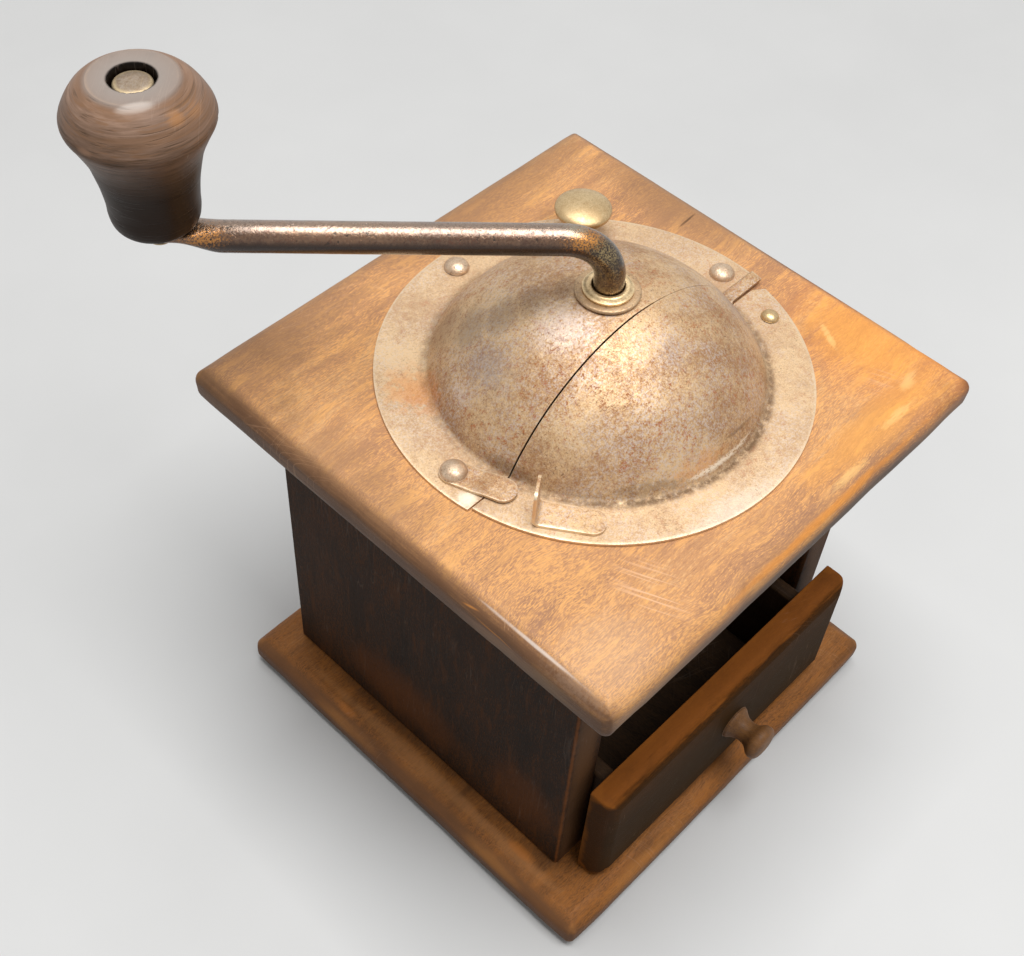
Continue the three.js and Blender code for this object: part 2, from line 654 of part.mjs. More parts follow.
function addLatchClip() {
  const foot = GLUE_GAP + SHEET + GLUE_GAP;
  const lifted = foot + CLIP_JOGGLE;
  const rampEnd = CLIP_JOGGLE_AT + CLIP_JOGGLE_RUN;
  const side = [
    [-CLIP_TAIL - OVERRUN, foot],
    [CLIP_JOGGLE_AT, foot],
    [rampEnd, lifted],
    [CLIP_LENGTH + OVERRUN, lifted],
    [CLIP_LENGTH + OVERRUN, lifted + SHEET],
    [rampEnd - SHEET / 2, lifted + SHEET],
    [CLIP_JOGGLE_AT - SHEET / 2, foot + SHEET],
    [-CLIP_TAIL - OVERRUN, foot + SHEET],
  ];
  const outline = tongue(CLIP_LENGTH, CLIP_TAIL, CLIP_WIDTH, CLIP_WIDTH / 2 - GLUE_GAP);
  const plan = new THREE.ExtrudeGeometry(outline, {
    depth: OVERRUN,
    bevelEnabled: false,
    curveSegments: ARC_STEPS,
  });
  const body = solid(plan)
    .intersect(solid(drawnOut(side, CLIP_WIDTH + OVERRUN)))
    .subtract(post(NAIL_SHANK_RADIUS + NAIL_CLEARANCE, -OVERRUN, OVERRUN, 0, 0, SMALL_SIDES));
  const at = onFlange(LEFT_NAIL_DEG);
  const clip = piece(mill, 'latch_clip', surface(body), FINISHES.domeSteel);
  clip.position.set(at.x, at.y, 0);
  clip.rotation.z = radians(CLIP_HEADING_DEG);
}

function addFingerTab() {
  const foot = LID_TOP + GLUE_GAP;
  const outline = tongue(TAB_LENGTH, 0, TAB_WIDTH, TAB_TIP_ROUND);
  const settings = { depth: SHEET, bevelEnabled: false, curveSegments: ARC_STEPS };
  const plan = new THREE.ExtrudeGeometry(outline, settings);
  plan.translate(0, 0, foot);
  const finger = new THREE.ExtrudeGeometry(tongue(TAB_HEIGHT, 0, TAB_WIDTH, FINGER_TIP_ROUND), settings);
  finger.rotateY(-Math.PI / 2);
  finger.translate(SHEET, 0, foot);
  const at = onFlange(TAB_ANGLE_DEG, TAB_RADIUS);
  const tab = piece(mill, 'finger_tab', surface(solid(plan).add(solid(finger))), FINISHES.domeSteel);
  tab.position.set(at.x, at.y, 0);
  tab.rotation.z = radians(TAB_HEADING_DEG);
}

function addFixings() {
  const onSheet = GLUE_GAP + SHEET + GLUE_GAP;
  for (const { side, degrees } of NAILS) {
    const seat = side === 'left' ? onSheet + SHEET + GLUE_GAP : onSheet;
    const geometry = domedFixing(NAIL_HEAD_RADIUS, NAIL_HEAD_HEIGHT, NAIL_SHANK_RADIUS, NAIL_BITE + seat);
    const at = onFlange(degrees);
    piece(mill, `flange_nail_${side}`, geometry, FINISHES.nailSteel).position.set(at.x, at.y, seat);
  }
  const seat = LID_TOP + PIVOT_CLEARANCE;
  const rivet = domedFixing(PIVOT_HEAD_RADIUS, PIVOT_HEAD_HEIGHT, PIVOT_SHANK_RADIUS, NAIL_BITE + seat);
  const at = onFlange(PIVOT_ANGLE_DEG);
  piece(mill, 'lid_pivot', rivet, FINISHES.nailSteel).position.set(at.x, at.y, seat);
}

function addBrassKnob() {
  const seat = GLUE_GAP + SHEET + GLUE_GAP;
  const rim = BRASS_HEIGHT - BRASS_HEAD_HEIGHT;
  const edge = BRASS_HEAD_HEIGHT / 2;
  const crown = edge * 2 / 3;
  const curve = (BRASS_HEAD_RADIUS ** 2 + crown ** 2) / (2 * crown);
  const rimAngle = Math.acos(BRASS_HEAD_RADIUS / curve);
  const head = arc(0, BRASS_HEIGHT - curve, curve, rimAngle, Math.PI / 2, ARC_STEPS);
  head[head.length - 1][0] = 0;
  const profile = [
    [0, -NAIL_BITE - seat],
    [BRASS_SHANK_RADIUS, -NAIL_BITE - seat + BRASS_SHANK_RADIUS],
    [BRASS_SHANK_RADIUS, 0],
    [BRASS_FOOT_RADIUS, 0],
    [BRASS_FOOT_RADIUS, BRASS_FOOT_HEIGHT],
    [BRASS_NECK_RADIUS, BRASS_FOOT_HEIGHT * 2],
    [BRASS_NECK_RADIUS, rim - edge / 2],
    [BRASS_HEAD_RADIUS - edge / 2, rim],
    [BRASS_HEAD_RADIUS, rim + edge / 2],
    ...head,
  ];
  const at = onFlange(BRASS_ANGLE_DEG);
  piece(mill, 'brass_knob', turned(profile, ROUND_SIDES), FINISHES.brass).position.set(at.x, at.y, seat);
}

function addBush() {
  const bore = ROD_RADIUS + ROD_CLEARANCE;
  const outer = bore + BUSH_WALL;
  const curve = (DOME_FOOT_RADIUS ** 2 + DOME_HEIGHT ** 2) / (2 * DOME_HEIGHT);
  const sag = (radius) => curve - Math.sqrt(curve ** 2 - radius ** 2);
  const seat = DOME_HEIGHT + GLUE_GAP - sag(DOME_HOLE_RADIUS) + GLUE_GAP;
  const washerTop = seat + WASHER_THICKNESS;
  const washer = [
    [outer + WASHER_HOLE_CLEARANCE, seat],
    [WASHER_RADIUS, seat],
    [WASHER_RADIUS, washerTop - WASHER_THICKNESS / 3],
    [WASHER_RADIUS - WASHER_THICKNESS / 2, washerTop],
    [outer + WASHER_HOLE_CLEARANCE, washerTop],
  ];
  piece(mill, 'bush_washer', ring(washer, ROUND_SIDES), FINISHES.rodSteel);
  const collarFoot = washerTop + GLUE_GAP;
  const collarTop = collarFoot + BUSH_COLLAR_HEIGHT;
  const innerRise = Math.sqrt((curve - SHEET) ** 2 - BUSH_LIP_RADIUS ** 2);
  const lipTop = DOME_HEIGHT + GLUE_GAP - curve + innerRise - BUSH_LIP_GAP;
  const bush = [
    [bore, lipTop - BUSH_LIP_HEIGHT],
    [BUSH_LIP_RADIUS, lipTop - BUSH_LIP_HEIGHT],
    [BUSH_LIP_RADIUS, lipTop],
    [outer, lipTop],
    [outer, collarFoot],
    [BUSH_COLLAR_RADIUS, collarFoot],
    [BUSH_COLLAR_RADIUS, collarTop - BUSH_COLLAR_HEIGHT / 2],
    [outer + BUSH_WALL / 4, collarTop - BUSH_COLLAR_HEIGHT / 3],
    [outer, collarTop],
    [bore, collarTop],
  ];
  piece(mill, 'crank_bush', ring(bush, ROUND_SIDES), FINISHES.brass);
}

/** Holes for the two rivets that hold the burr and its bearing, through what lies at a height. */
function drillForRivets(body, height) {
  const radius = RIVET_RADIUS + NAIL_CLEARANCE;
  const [left, right] = [-RIVET_REACH, RIVET_REACH].map(
    (x) => post(radius, height - OVERRUN, height + OVERRUN, x, 0, SMALL_SIDES),
  );
  return body.subtract(left).subtract(right);
}

function addBowl() {
  const rimTop = -BOWL_REBATE + GLUE_GAP + SHEET;
  const wall = (offset) => {
    const points = [];
    for (let i = 0; i <= BOWL_STEPS; i += 1) {
      const angle = (Math.PI / 2) * (i / BOWL_STEPS);
      const spread = BOWL_MOUTH_RADIUS - BOWL_BOTTOM_RADIUS;
      const radius = BOWL_BOTTOM_RADIUS + spread * Math.cos(angle) - offset * Math.cos(angle);
      const drop = (BOWL_DEPTH + rimTop) * Math.sin(angle) - offset * Math.sin(angle);
      points.push([radius, rimTop - SHEET - drop]);
    }
    return points;
  };
  const outside = wall(0);
  const inside = wall(SHEET);
  const profile = [
    [BOWL_RIM_RADIUS, rimTop - SHEET],
    [BOWL_RIM_RADIUS, rimTop],
    [BOWL_MOUTH_RADIUS - SHEET, rimTop],
    ...inside.slice(1),
    [BOWL_OUTLET_RADIUS, inside[BOWL_STEPS][1]],
    [BOWL_OUTLET_RADIUS, outside[BOWL_STEPS][1]],
    ...outside.reverse(),
  ];
  const body = drillForRivets(solid(ring(profile, BOWL_SIDES)), -BOWL_DEPTH);
  piece(mill, 'hopper_bowl', surface(body), FINISHES.nailSteel);
}

/** A saw-toothed outline, its crests at the given radius. */
function toothedPoints(radius, depth, teeth) {
  const points = [];
  const pitch = (2 * Math.PI) / teeth;
  for (let i = 0; i < teeth; i += 1) {
    const start = i * pitch;
    const corners = [[0, radius], [TOOTH_CREST_SHARE, radius], [TOOTH_ROOT_SHARE, radius - depth]];
    for (const [share, reach] of corners) {
      const angle = start + share * pitch;
      points.push(new THREE.Vector2(reach * Math.cos(angle), reach * Math.sin(angle)));
    }
  }
  return points;
}

/** Tapers and twists a toothed prism, leaving alone whatever lies past the reach. */
function taperTwist(geometry, height, endScale, twist, reach) {
  const position = geometry.attributes.position;
  for (let i = 0; i < position.count; i += 1) {
    const point = new THREE.Vector2(position.getX(i), position.getY(i));
    if (point.length() < reach) {
      const share = position.getZ(i) / height;
      point.multiplyScalar(1 + (endScale - 1) * share).rotateAround(new THREE.Vector2(), twist * share);
      position.setXY(i, point.x, point.y);
    }
  }
  return geometry;
}

function addRingBurr() {
  const outline = disc(RING_OUTER_RADIUS, BOWL_SIDES);
  const bore = new THREE.Path(toothedPoints(RING_BOTTOM_RADIUS, RING_TOOTH_DEPTH, RING_TEETH));
  outline.holes.push(bore);
  const settings = { depth: RING_HEIGHT, steps: BURR_STEPS, bevelEnabled: false };
  const tube = new THREE.ExtrudeGeometry(outline, settings);
  const reach = (RING_OUTER_RADIUS + RING_BOTTOM_RADIUS) / 2;
  taperTwist(tube, RING_HEIGHT, RING_TOP_RADIUS / RING_BOTTOM_RADIUS, radians(RING_TWIST_DEG), reach);
  tube.translate(0, 0, RING_BOTTOM);
  const under = RING_TOP - RING_FLANGE_THICKNESS;
  const inner = (RING_OUTER_RADIUS + RING_TOP_RADIUS) / 2;
  const flange = post(RING_FLANGE_RADIUS, under, RING_TOP, 0, 0, ROUND_SIDES)
    .subtract(post(inner, under - OVERRUN, RING_TOP + OVERRUN, 0, 0, ROUND_SIDES));
  const body = drillForRivets(solid(tube).add(flange), RING_TOP);
  piece(mill, 'ring_burr', surface(body), FINISHES.iron);
}

function addConeBurr() {
  const fineHeight = CONE_HEIGHT * CONE_FINE_SHARE;
  const coarseHeight = CONE_HEIGHT - fineHeight;
  const tier = (bottomRadius, topRadius, depth, teeth, height, twist) => {
    const shape = new THREE.Shape(toothedPoints(bottomRadius, depth, teeth));
    const prism = new THREE.ExtrudeGeometry(shape, { depth: height, steps: BURR_STEPS, bevelEnabled: false });
    return taperTwist(prism, height, topRadius / bottomRadius, twist, bottomRadius * 2);
  };
  const twist = radians(CONE_TWIST_DEG);
  const fineTwist = twist * CONE_FINE_SHARE;
  const middle = CONE_SHOULDER_RADIUS;
  const fine = tier(CONE_BOTTOM_RADIUS, middle, CONE_FINE_DEPTH, CONE_FINE_TEETH, fineHeight, fineTwist);
  const coarse = tier(middle, CONE_TOP_RADIUS, CONE_COARSE_DEPTH, CONE_COARSE_TEETH, coarseHeight, twist);
  coarse.translate(0, 0, fineHeight - GLUE_GAP);
  const body = solid(fine)
    .add(solid(coarse))
    .subtract(post(ROD_RADIUS + PRESS_CLEARANCE, -OVERRUN, CONE_HEIGHT + OVERRUN, 0, 0, ROUND_SIDES));
  piece(mill, 'cone_burr', surface(body), FINISHES.iron).position.z = CONE_BOTTOM;
}

/** The line that a bent rod follows, with a knot at each change and its own tangent there. */
class RodPath extends THREE.Curve {
  constructor(knots) {
    super();
    this.knots = knots;
  }

  getPoint(t, target = new THREE.Vector3()) {
    const along = t * (this.knots.length - 1);
    const index = Math.min(Math.floor(along), this.knots.length - 2);
    return target.lerpVectors(this.knots[index].point, this.knots[index + 1].point, along - index);
  }

  getTangent(t, target = new THREE.Vector3()) {
    return target.copy(this.knots[Math.round(t * (this.knots.length - 1))].tangent);
  }

  getUtoTmapping(u) {
    return u;
  }
}

function addCrankArm() {
  const taperEnd = ARM_LENGTH - EYE_RADIUS * 3 / 4;
  const knots = [{ point: new THREE.Vector3(0, 0, SPINDLE_FOOT), tangent: Z.clone() }];
  for (let i = 0; i <= BEND_STEPS; i += 1) {
    const angle = (Math.PI / 2) * (i / BEND_STEPS);
    const out = ARM_BEND_RADIUS * (1 - Math.cos(angle));
    const up = ARM_HEIGHT - ARM_BEND_RADIUS * (1 - Math.sin(angle));
    knots.push({
      point: new THREE.Vector3(out, 0, up),
      tangent: new THREE.Vector3(Math.sin(angle), 0, Math.cos(angle)),
    });
  }
  for (let i = 0; i <= BEND_STEPS; i += 1) {
    const along = taperEnd - EYE_TAPER * (1 - i / BEND_STEPS);
    knots.push({ point: new THREE.Vector3(along, 0, ARM_HEIGHT), tangent: X.clone() });
  }
  const rod = new THREE.ExtrudeGeometry(disc(ROD_RADIUS, ROD_SIDES), {
    steps: knots.length - 1,
    extrudePath: new RodPath(knots),
  });
  const position = rod.attributes.position;
  for (let i = 0; i < position.count; i += 1) {
    const share = Math.max(0, 1 - (taperEnd - position.getX(i)) / EYE_TAPER);
    const eased = share * share * (3 - 2 * share);
    const flat = 1 + (EYE_THICKNESS / (2 * ROD_RADIUS) - 1) * eased;
    const wide = 1 + (EYE_WIDENING - 1) * eased;
    if (share > 0) {
      position.setY(i, position.getY(i) * wide);
      position.setZ(i, EYE_TOP - (EYE_TOP - position.getZ(i)) * flat);
    }
  }
  const body = solid(rod)
    .add(post(EYE_RADIUS, EYE_TOP - EYE_THICKNESS, EYE_TOP, ARM_LENGTH, 0, ROUND_SIDES))
    .subtract(post(PIN_RADIUS + PRESS_CLEARANCE, 0, EYE_TOP + OVERRUN, ARM_LENGTH, 0, ROUND_SIDES));
  piece(mill, 'crank_arm', surface(body), FINISHES.rodSteel).rotation.z = radians(ARM_HEADING_DEG);
}

/** Where the handle's pin stands. */
function pinPlace() {
  const heading = radians(ARM_HEADING_DEG);
  return new THREE.Vector2(Math.cos(heading), Math.sin(heading)).multiplyScalar(ARM_LENGTH);
}

function addHandle() {
  const bore = PIN_RADIUS + PIN_CLEARANCE;
  const recessFloor = HANDLE_HEIGHT - HANDLE_RECESS_DEPTH;
  const outside = HANDLE_PROFILE_SHARES.map(([across, up]) => [HANDLE_RADIUS * across, HANDLE_HEIGHT * up]);
  const profile = [
    [bore, 0],
    ...outside,
    [HANDLE_RECESS_RADIUS, HANDLE_HEIGHT],
    [HANDLE_RECESS_RADIUS, recessFloor],
    [bore, recessFloor],
  ];
  const at = pinPlace();
  const knob = piece(mill, 'handle_knob', ring(profile, ROUND_SIDES), FINISHES.handleWood);
  knob.position.set(at.x, at.y, HANDLE_FOOT);
}

function addHandlePin() {
  const recessFloor = HANDLE_FOOT + HANDLE_HEIGHT - HANDLE_RECESS_DEPTH;
  const headFoot = recessFloor + PIN_CLEARANCE;
  const headTop = HANDLE_FOOT + HANDLE_HEIGHT - PIN_HEAD_DEPTH;
  const under = EYE_TOP - EYE_THICKNESS - GLUE_GAP;
  const profile = [
    [0, under - PIN_FOOT_HEIGHT],
    [PIN_FOOT_RADIUS - PIN_FOOT_HEIGHT / 2, under - PIN_FOOT_HEIGHT],
    [PIN_FOOT_RADIUS, under - PIN_FOOT_HEIGHT / 2],
    [PIN_FOOT_RADIUS, under],
    [PIN_RADIUS, under],
    [PIN_RADIUS, headFoot],
    [PIN_HEAD_RADIUS, headFoot],
    [PIN_HEAD_RADIUS, headTop - PIN_HEAD_HEIGHT / 4],
    [PIN_HEAD_RADIUS - PIN_HEAD_HEIGHT / 4, headTop],
    [0, headTop],
  ];
  const at = pinPlace();
  piece(mill, 'handle_pin', turned(profile, ROUND_SIDES), FINISHES.nailSteel).position.set(at.x, at.y, 0);
}

function addBridge() {
  const earEnd = BRIDGE_REACH + BRIDGE_EAR;
  const shape = new THREE.Shape();
  const inside = BRIDGE_REACH - BRIDGE_STRIP;
  const side = (sign) => [
    [sign * inside, BRIDGE_FLOOR_TOP + BRIDGE_BEND_ROUND],
    [sign * (inside - BRIDGE_BEND_ROUND), BRIDGE_FLOOR_TOP],
  ];
  const outline = [
    [-earEnd, BRIDGE_EAR_TOP],
    [-inside, BRIDGE_EAR_TOP],
    ...side(-1),
    ...side(1).reverse(),
    [inside, BRIDGE_EAR_TOP],
    [earEnd, BRIDGE_EAR_TOP],
    [earEnd, BRIDGE_EAR_TOP - BRIDGE_STRIP],
    [BRIDGE_REACH, BRIDGE_EAR_TOP - BRIDGE_STRIP],
    [BRIDGE_REACH, BRIDGE_FLOOR_TOP + BRIDGE_BEND_ROUND - BRIDGE_STRIP / 2],
    [inside - BRIDGE_BEND_ROUND / 2, BRIDGE_FLOOR_BOTTOM],
    [BRIDGE_BEND_ROUND / 2 - inside, BRIDGE_FLOOR_BOTTOM],
    [-BRIDGE_REACH, BRIDGE_FLOOR_TOP + BRIDGE_BEND_ROUND - BRIDGE_STRIP / 2],
    [-BRIDGE_REACH, BRIDGE_EAR_TOP - BRIDGE_STRIP],
    [-earEnd, BRIDGE_EAR_TOP - BRIDGE_STRIP],
  ];
  outline.forEach(([x, z], i) => (i ? shape.lineTo(x, z) : shape.moveTo(x, z)));
  const strip = new THREE.ExtrudeGeometry(shape, { depth: BRIDGE_WIDTH, bevelEnabled: false });
  strip.translate(0, 0, -BRIDGE_WIDTH / 2);
  strip.rotateX(Math.PI / 2);
  const bore = post(ROD_RADIUS + ROD_CLEARANCE, BOSS_BOTTOM - OVERRUN, BOSS_TOP + OVERRUN, 0, 0, ROUND_SIDES);
  const body = solid(strip)
    .add(post(BEARING_BOSS_RADIUS, BOSS_BOTTOM, BOSS_TOP, 0, 0, ROUND_SIDES))
    .subtract(bore);
  piece(mill, 'bearing_bridge', surface(drillForRivets(body, BRIDGE_EAR_TOP)), FINISHES.iron);
}

function addBurrRivets() {
  const low = BRIDGE_EAR_TOP - BRIDGE_STRIP - GLUE_GAP;
  const high = -BOWL_DEPTH + GLUE_GAP;
  const profile = [
    [0, low - RIVET_HEAD_HEIGHT],
    [RIVET_HEAD_RADIUS * 2 / 3, low - RIVET_HEAD_HEIGHT * 2 / 3],
    [RIVET_HEAD_RADIUS, low],
    [RIVET_RADIUS, low],
    [RIVET_RADIUS, high],
    [RIVET_HEAD_RADIUS, high],
    [RIVET_HEAD_RADIUS * 2 / 3, high + RIVET_HEAD_HEIGHT * 2 / 3],
    [0, high + RIVET_HEAD_HEIGHT],
  ];
  for (const [side, sign] of [['left', -1], ['right', 1]]) {
    const x = sign * RIVET_REACH;
    piece(mill, `burr_rivet_${side}`, turned(profile, SMALL_SIDES), FINISHES.nailSteel).position.x = x;
  }
}

function addAdjuster() {
  const top = SPINDLE_FOOT - ROD_CLEARANCE;
  const headTop = BOSS_BOTTOM - ROD_CLEARANCE;
  const headBottom = headTop - ADJUSTER_HEAD_THICKNESS;
  let body = post(ADJUSTER_HEAD_RADIUS, headBottom, headTop, 0, 0, FINE_SIDES)
    .add(post(ROD_RADIUS, headTop - ADJUSTER_HEAD_THICKNESS / 2, top, 0, 0, ROUND_SIDES));
  for (let i = 0; i < ADJUSTER_NOTCHES; i += 1) {
    const angle = (2 * Math.PI * i) / ADJUSTER_NOTCHES;
    const x = ADJUSTER_HEAD_RADIUS * Math.cos(angle);
    const y = ADJUSTER_HEAD_RADIUS * Math.sin(angle);
    const notch = post(ADJUSTER_NOTCH_DEPTH, headBottom - OVERRUN, headTop + OVERRUN, x, y, SMALL_SIDES / 2);
    body = body.subtract(notch);
  }
  piece(mill, 'adjusting_screw', surface(body), FINISHES.brass);
}

function addDetentSpring() {
  const top = BRIDGE_FLOOR_BOTTOM - GLUE_GAP;
  const out = ADJUSTER_HEAD_RADIUS + ROD_CLEARANCE * 2;
  const root = out + SPRING_FOOT;
  const tip = BOSS_BOTTOM - ROD_CLEARANCE - ADJUSTER_HEAD_THICKNESS / 2;
  const side = [
    [root, top],
    [out, top],
    [out, tip],
    [out + SPRING_THICKNESS, tip],
    [out + SPRING_THICKNESS * 2, top - SPRING_THICKNESS],
    [root, top - SPRING_THICKNESS],
  ];
  piece(mill, 'detent_spring', drawnOut(side, SPRING_WIDTH), FINISHES.nailSteel);
}

function addDrawer() {
  const back = CASE_BACK - BACK_THICKNESS - DRAWER_STOP_GAP;
  const boxLength = back - CASE_FRONT;
  const boxWidth = CASE_INNER_WIDTH - 2 * DRAWER_SIDE_CLEARANCE;
  const floor = BASE_THICKNESS + DRAWER_FLOOR_CLEARANCE;
  const drawer = new THREE.Group();
  drawer.position.set(0, CASE_FRONT - DRAWER_REST_OPENING, 0);
  object.add(drawer);

  const middle = BASE_THICKNESS + DRAWER_FRONT_LIFT + DRAWER_FRONT_HEIGHT / 2;
  addDrawerFront(drawer, middle);
  for (const [name, side] of [['drawer_side_left', -1], ['drawer_side_right', 1]]) {
    const wall = piece(drawer, name, plank(boxLength, DRAWER_BOX_HEIGHT, DRAWER_WALL), FINISHES.drawerWood);
    const inward = side * (boxWidth / 2) - DRAWER_WALL * (side > 0 ? 1 : 0);
    place(wall, Y, Z, inward, GLUE_GAP + boxLength / 2, floor + DRAWER_BOX_HEIGHT / 2);
  }
  const innerWidth = boxWidth - 2 * DRAWER_WALL - 2 * GLUE_GAP;
  const rearPlank = plank(innerWidth, DRAWER_BOX_HEIGHT, DRAWER_WALL);
  const rear = piece(drawer, 'drawer_back', rearPlank, FINISHES.drawerWood);
  place(rear, X, Z, 0, GLUE_GAP + boxLength, floor + DRAWER_BOX_HEIGHT / 2);
  const bottomDepth = boxLength - DRAWER_WALL - 2 * GLUE_GAP;
  const bottomPlank = plank(innerWidth, bottomDepth, DRAWER_FLOOR);
  const bottom = piece(drawer, 'drawer_bottom', bottomPlank, FINISHES.drawerWood);
  bottom.position.set(0, GLUE_GAP * 2 + bottomDepth / 2, floor);

  addPull(drawer, middle);
}

/** The drawer's front: half of a board rounded all round, with a hole for the pull's screw. */
function addDrawerFront(drawer, middle) {
  const thickness = DRAWER_FRONT_THICKNESS;
  const face = board(DRAWER_FRONT_WIDTH, DRAWER_FRONT_HEIGHT, thickness * 2, DRAWER_FRONT_ROUND, EDGE_STEPS);
  face.rotateX(Math.PI / 2);
  face.translate(0, thickness, middle);
  const behind = block(
    new THREE.Vector3(-DRAWER_FRONT_WIDTH, 0, 0),
    new THREE.Vector3(DRAWER_FRONT_WIDTH, thickness * 2, DRAWER_FRONT_HEIGHT * 2),
  );
  const hole = post(PULL_SCREW_RADIUS + SCREW_CLEARANCE, -OVERRUN, thickness + OVERRUN, 0, 0, SMALL_SIDES);
  const level = solid(surface(hole).rotateX(Math.PI / 2).translate(PULL_RIGHT, 0, middle));
  piece(drawer, 'drawer_front', surface(solid(face).subtract(behind).subtract(level)), FINISHES.drawerWood);
}

function addPull(drawer, middle) {
  const flare = PULL_NECK_RADIUS / 2;
  const drilled = PULL_SCREW_RADIUS + SCREW_CLEARANCE;
  const profile = [
    [drilled, 0],
    [PULL_NECK_RADIUS + flare, 0],
    [PULL_NECK_RADIUS + flare, flare / 2],
    [PULL_NECK_RADIUS, flare * 2],
    [PULL_NECK_RADIUS, PULL_LENGTH / 2],
    [PULL_RADIUS - flare / 2, PULL_LENGTH * 2 / 3],
    [PULL_RADIUS, PULL_LENGTH * 3 / 4],
    [PULL_RADIUS, PULL_LENGTH - flare],
    [PULL_RADIUS - flare, PULL_LENGTH - flare / 4],
    [0, PULL_LENGTH],
    [0, PULL_SCREW_BITE + SCREW_CLEARANCE],
    [drilled, PULL_SCREW_BITE + SCREW_CLEARANCE],
    [drilled, 0],
  ];
  const pull = piece(drawer, 'drawer_knob', turned(profile, ROUND_SIDES), FINISHES.drawerWood);
  place(pull, X, Z, PULL_RIGHT, -DRAWER_FRONT_THICKNESS - GLUE_GAP, middle);

  const head = PULL_SCREW_HEAD_HEIGHT;
  const screw = [
    [0, -DRAWER_FRONT_THICKNESS - head],
    [PULL_SCREW_HEAD_RADIUS * 2 / 3, -DRAWER_FRONT_THICKNESS - head],
    [PULL_SCREW_HEAD_RADIUS, -DRAWER_FRONT_THICKNESS - head / 2],
    [PULL_SCREW_HEAD_RADIUS, -DRAWER_FRONT_THICKNESS],
    [PULL_SCREW_RADIUS, -DRAWER_FRONT_THICKNESS],
    [PULL_SCREW_RADIUS, PULL_SCREW_BITE - PULL_SCREW_RADIUS],
    [0, PULL_SCREW_BITE],
  ];
  const screwMesh = piece(drawer, 'drawer_knob_screw', turned(screw, SMALL_SIDES), FINISHES.iron);
  place(screwMesh, X, Z, PULL_RIGHT, GLUE_GAP - DRAWER_FRONT_THICKNESS, middle);
}

addBase();
addCaseScrews();
addSideWalls();
addBackWall();
addFrontPanel();
addTopBoard();
addDomeShell();
addLidShell();
addLatchClip();
addFingerTab();
addFixings();
addBrassKnob();
addBush();
addBowl();
addRingBurr();
addConeBurr();
addCrankArm();
addHandle();
addHandlePin();
addBridge();
addBurrRivets();
addAdjuster();
addDetentSpring();
addDrawer();

export default object;
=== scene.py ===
"""Looks of a hand cranked box mill for coffee beans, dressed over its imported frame.

The frame gives every place and every motion. This script replaces the solids that show with
finer meshes, gives each piece a worn procedural finish, and sets the floor, light and camera.
Lengths in the size classes are in millimetres. MM turns them into metres.
"""

import logging
import math
from contextlib import contextmanager
from dataclasses import dataclass, replace
from enum import Enum
from typing import Any, Callable, Iterable, Iterator, Optional, Sequence, Union

import bmesh
import bpy
import numpy as np
from mathutils import Matrix, Vector, noise

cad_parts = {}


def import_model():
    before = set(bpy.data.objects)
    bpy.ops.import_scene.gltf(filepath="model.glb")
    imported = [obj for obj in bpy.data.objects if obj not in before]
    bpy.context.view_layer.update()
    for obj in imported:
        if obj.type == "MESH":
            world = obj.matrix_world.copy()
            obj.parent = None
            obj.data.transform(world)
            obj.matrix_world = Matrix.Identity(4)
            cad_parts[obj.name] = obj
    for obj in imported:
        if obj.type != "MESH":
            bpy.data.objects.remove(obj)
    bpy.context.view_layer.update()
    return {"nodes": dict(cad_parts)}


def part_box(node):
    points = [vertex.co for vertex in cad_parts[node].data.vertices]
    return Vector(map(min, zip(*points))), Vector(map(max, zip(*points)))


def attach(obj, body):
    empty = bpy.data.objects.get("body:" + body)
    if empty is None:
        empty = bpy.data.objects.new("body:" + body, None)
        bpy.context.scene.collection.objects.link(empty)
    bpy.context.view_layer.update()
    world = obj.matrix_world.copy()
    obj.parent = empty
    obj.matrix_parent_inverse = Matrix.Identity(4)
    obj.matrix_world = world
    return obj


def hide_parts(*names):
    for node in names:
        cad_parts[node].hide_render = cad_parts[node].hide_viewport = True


LOG = logging.getLogger("mill")
MM = 0.001
MERGED = 1e-6
RELIEF = 0.2 * MM
PALE_CUT = (0.9, 0.8, 0.7, 1)
MILL_PLACE = Vector((2.4, -0.8, 138.6)) * MM

Socket = bpy.types.NodeSocket
Value = Union[float, Sequence[float], Socket]
Mesh = bpy.types.Mesh
Piece = bpy.types.Object
Pair = tuple[float, float]
Triple = tuple[float, float, float]
Points = Sequence[Pair]


# Small helpers


def colour(code: str) -> tuple[float, float, float, float]:
    """Reads a colour.

    Args:
        code: Its six sRGB hex digits.

    Returns:
        The colour as linear RGBA.
    """
    parts = [int(code[i : i + 2], 16) / 255 for i in (0, 2, 4)]
    linear = [c / 12.92 if c <= 0.04045 else ((c + 0.055) / 1.055) ** 2.4 for c in parts]
    return (*linear, 1.0)


def smooth_step(low: float, high: float, value: Any) -> Any:
    """Rises smoothly from 0 at low to 1 at high, for a number or an array."""
    share = np.clip((np.asarray(value, float) - low) / (high - low), 0, 1)
    return share * share * (3 - 2 * share)


def on_circle(radius: float, degrees: float) -> Vector:
    """A point of the mill's own plane, in metres."""
    angle = math.radians(degrees)
    return Vector((math.cos(angle), math.sin(angle), 0)) * radius * MM


def on_mill(radius: float, degrees: float, height: float = 0.0) -> Vector:
    """A place over the top board, in metres, from the spindle's axis."""
    return MILL_PLACE + on_circle(radius, degrees) + Vector((0, 0, height * MM))


def box_in_mm(node: str) -> tuple[Vector, Vector]:
    """The lowest and the highest corner of a node's box, in millimetres."""
    low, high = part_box(node)
    return Vector(low) / MM, Vector(high) / MM


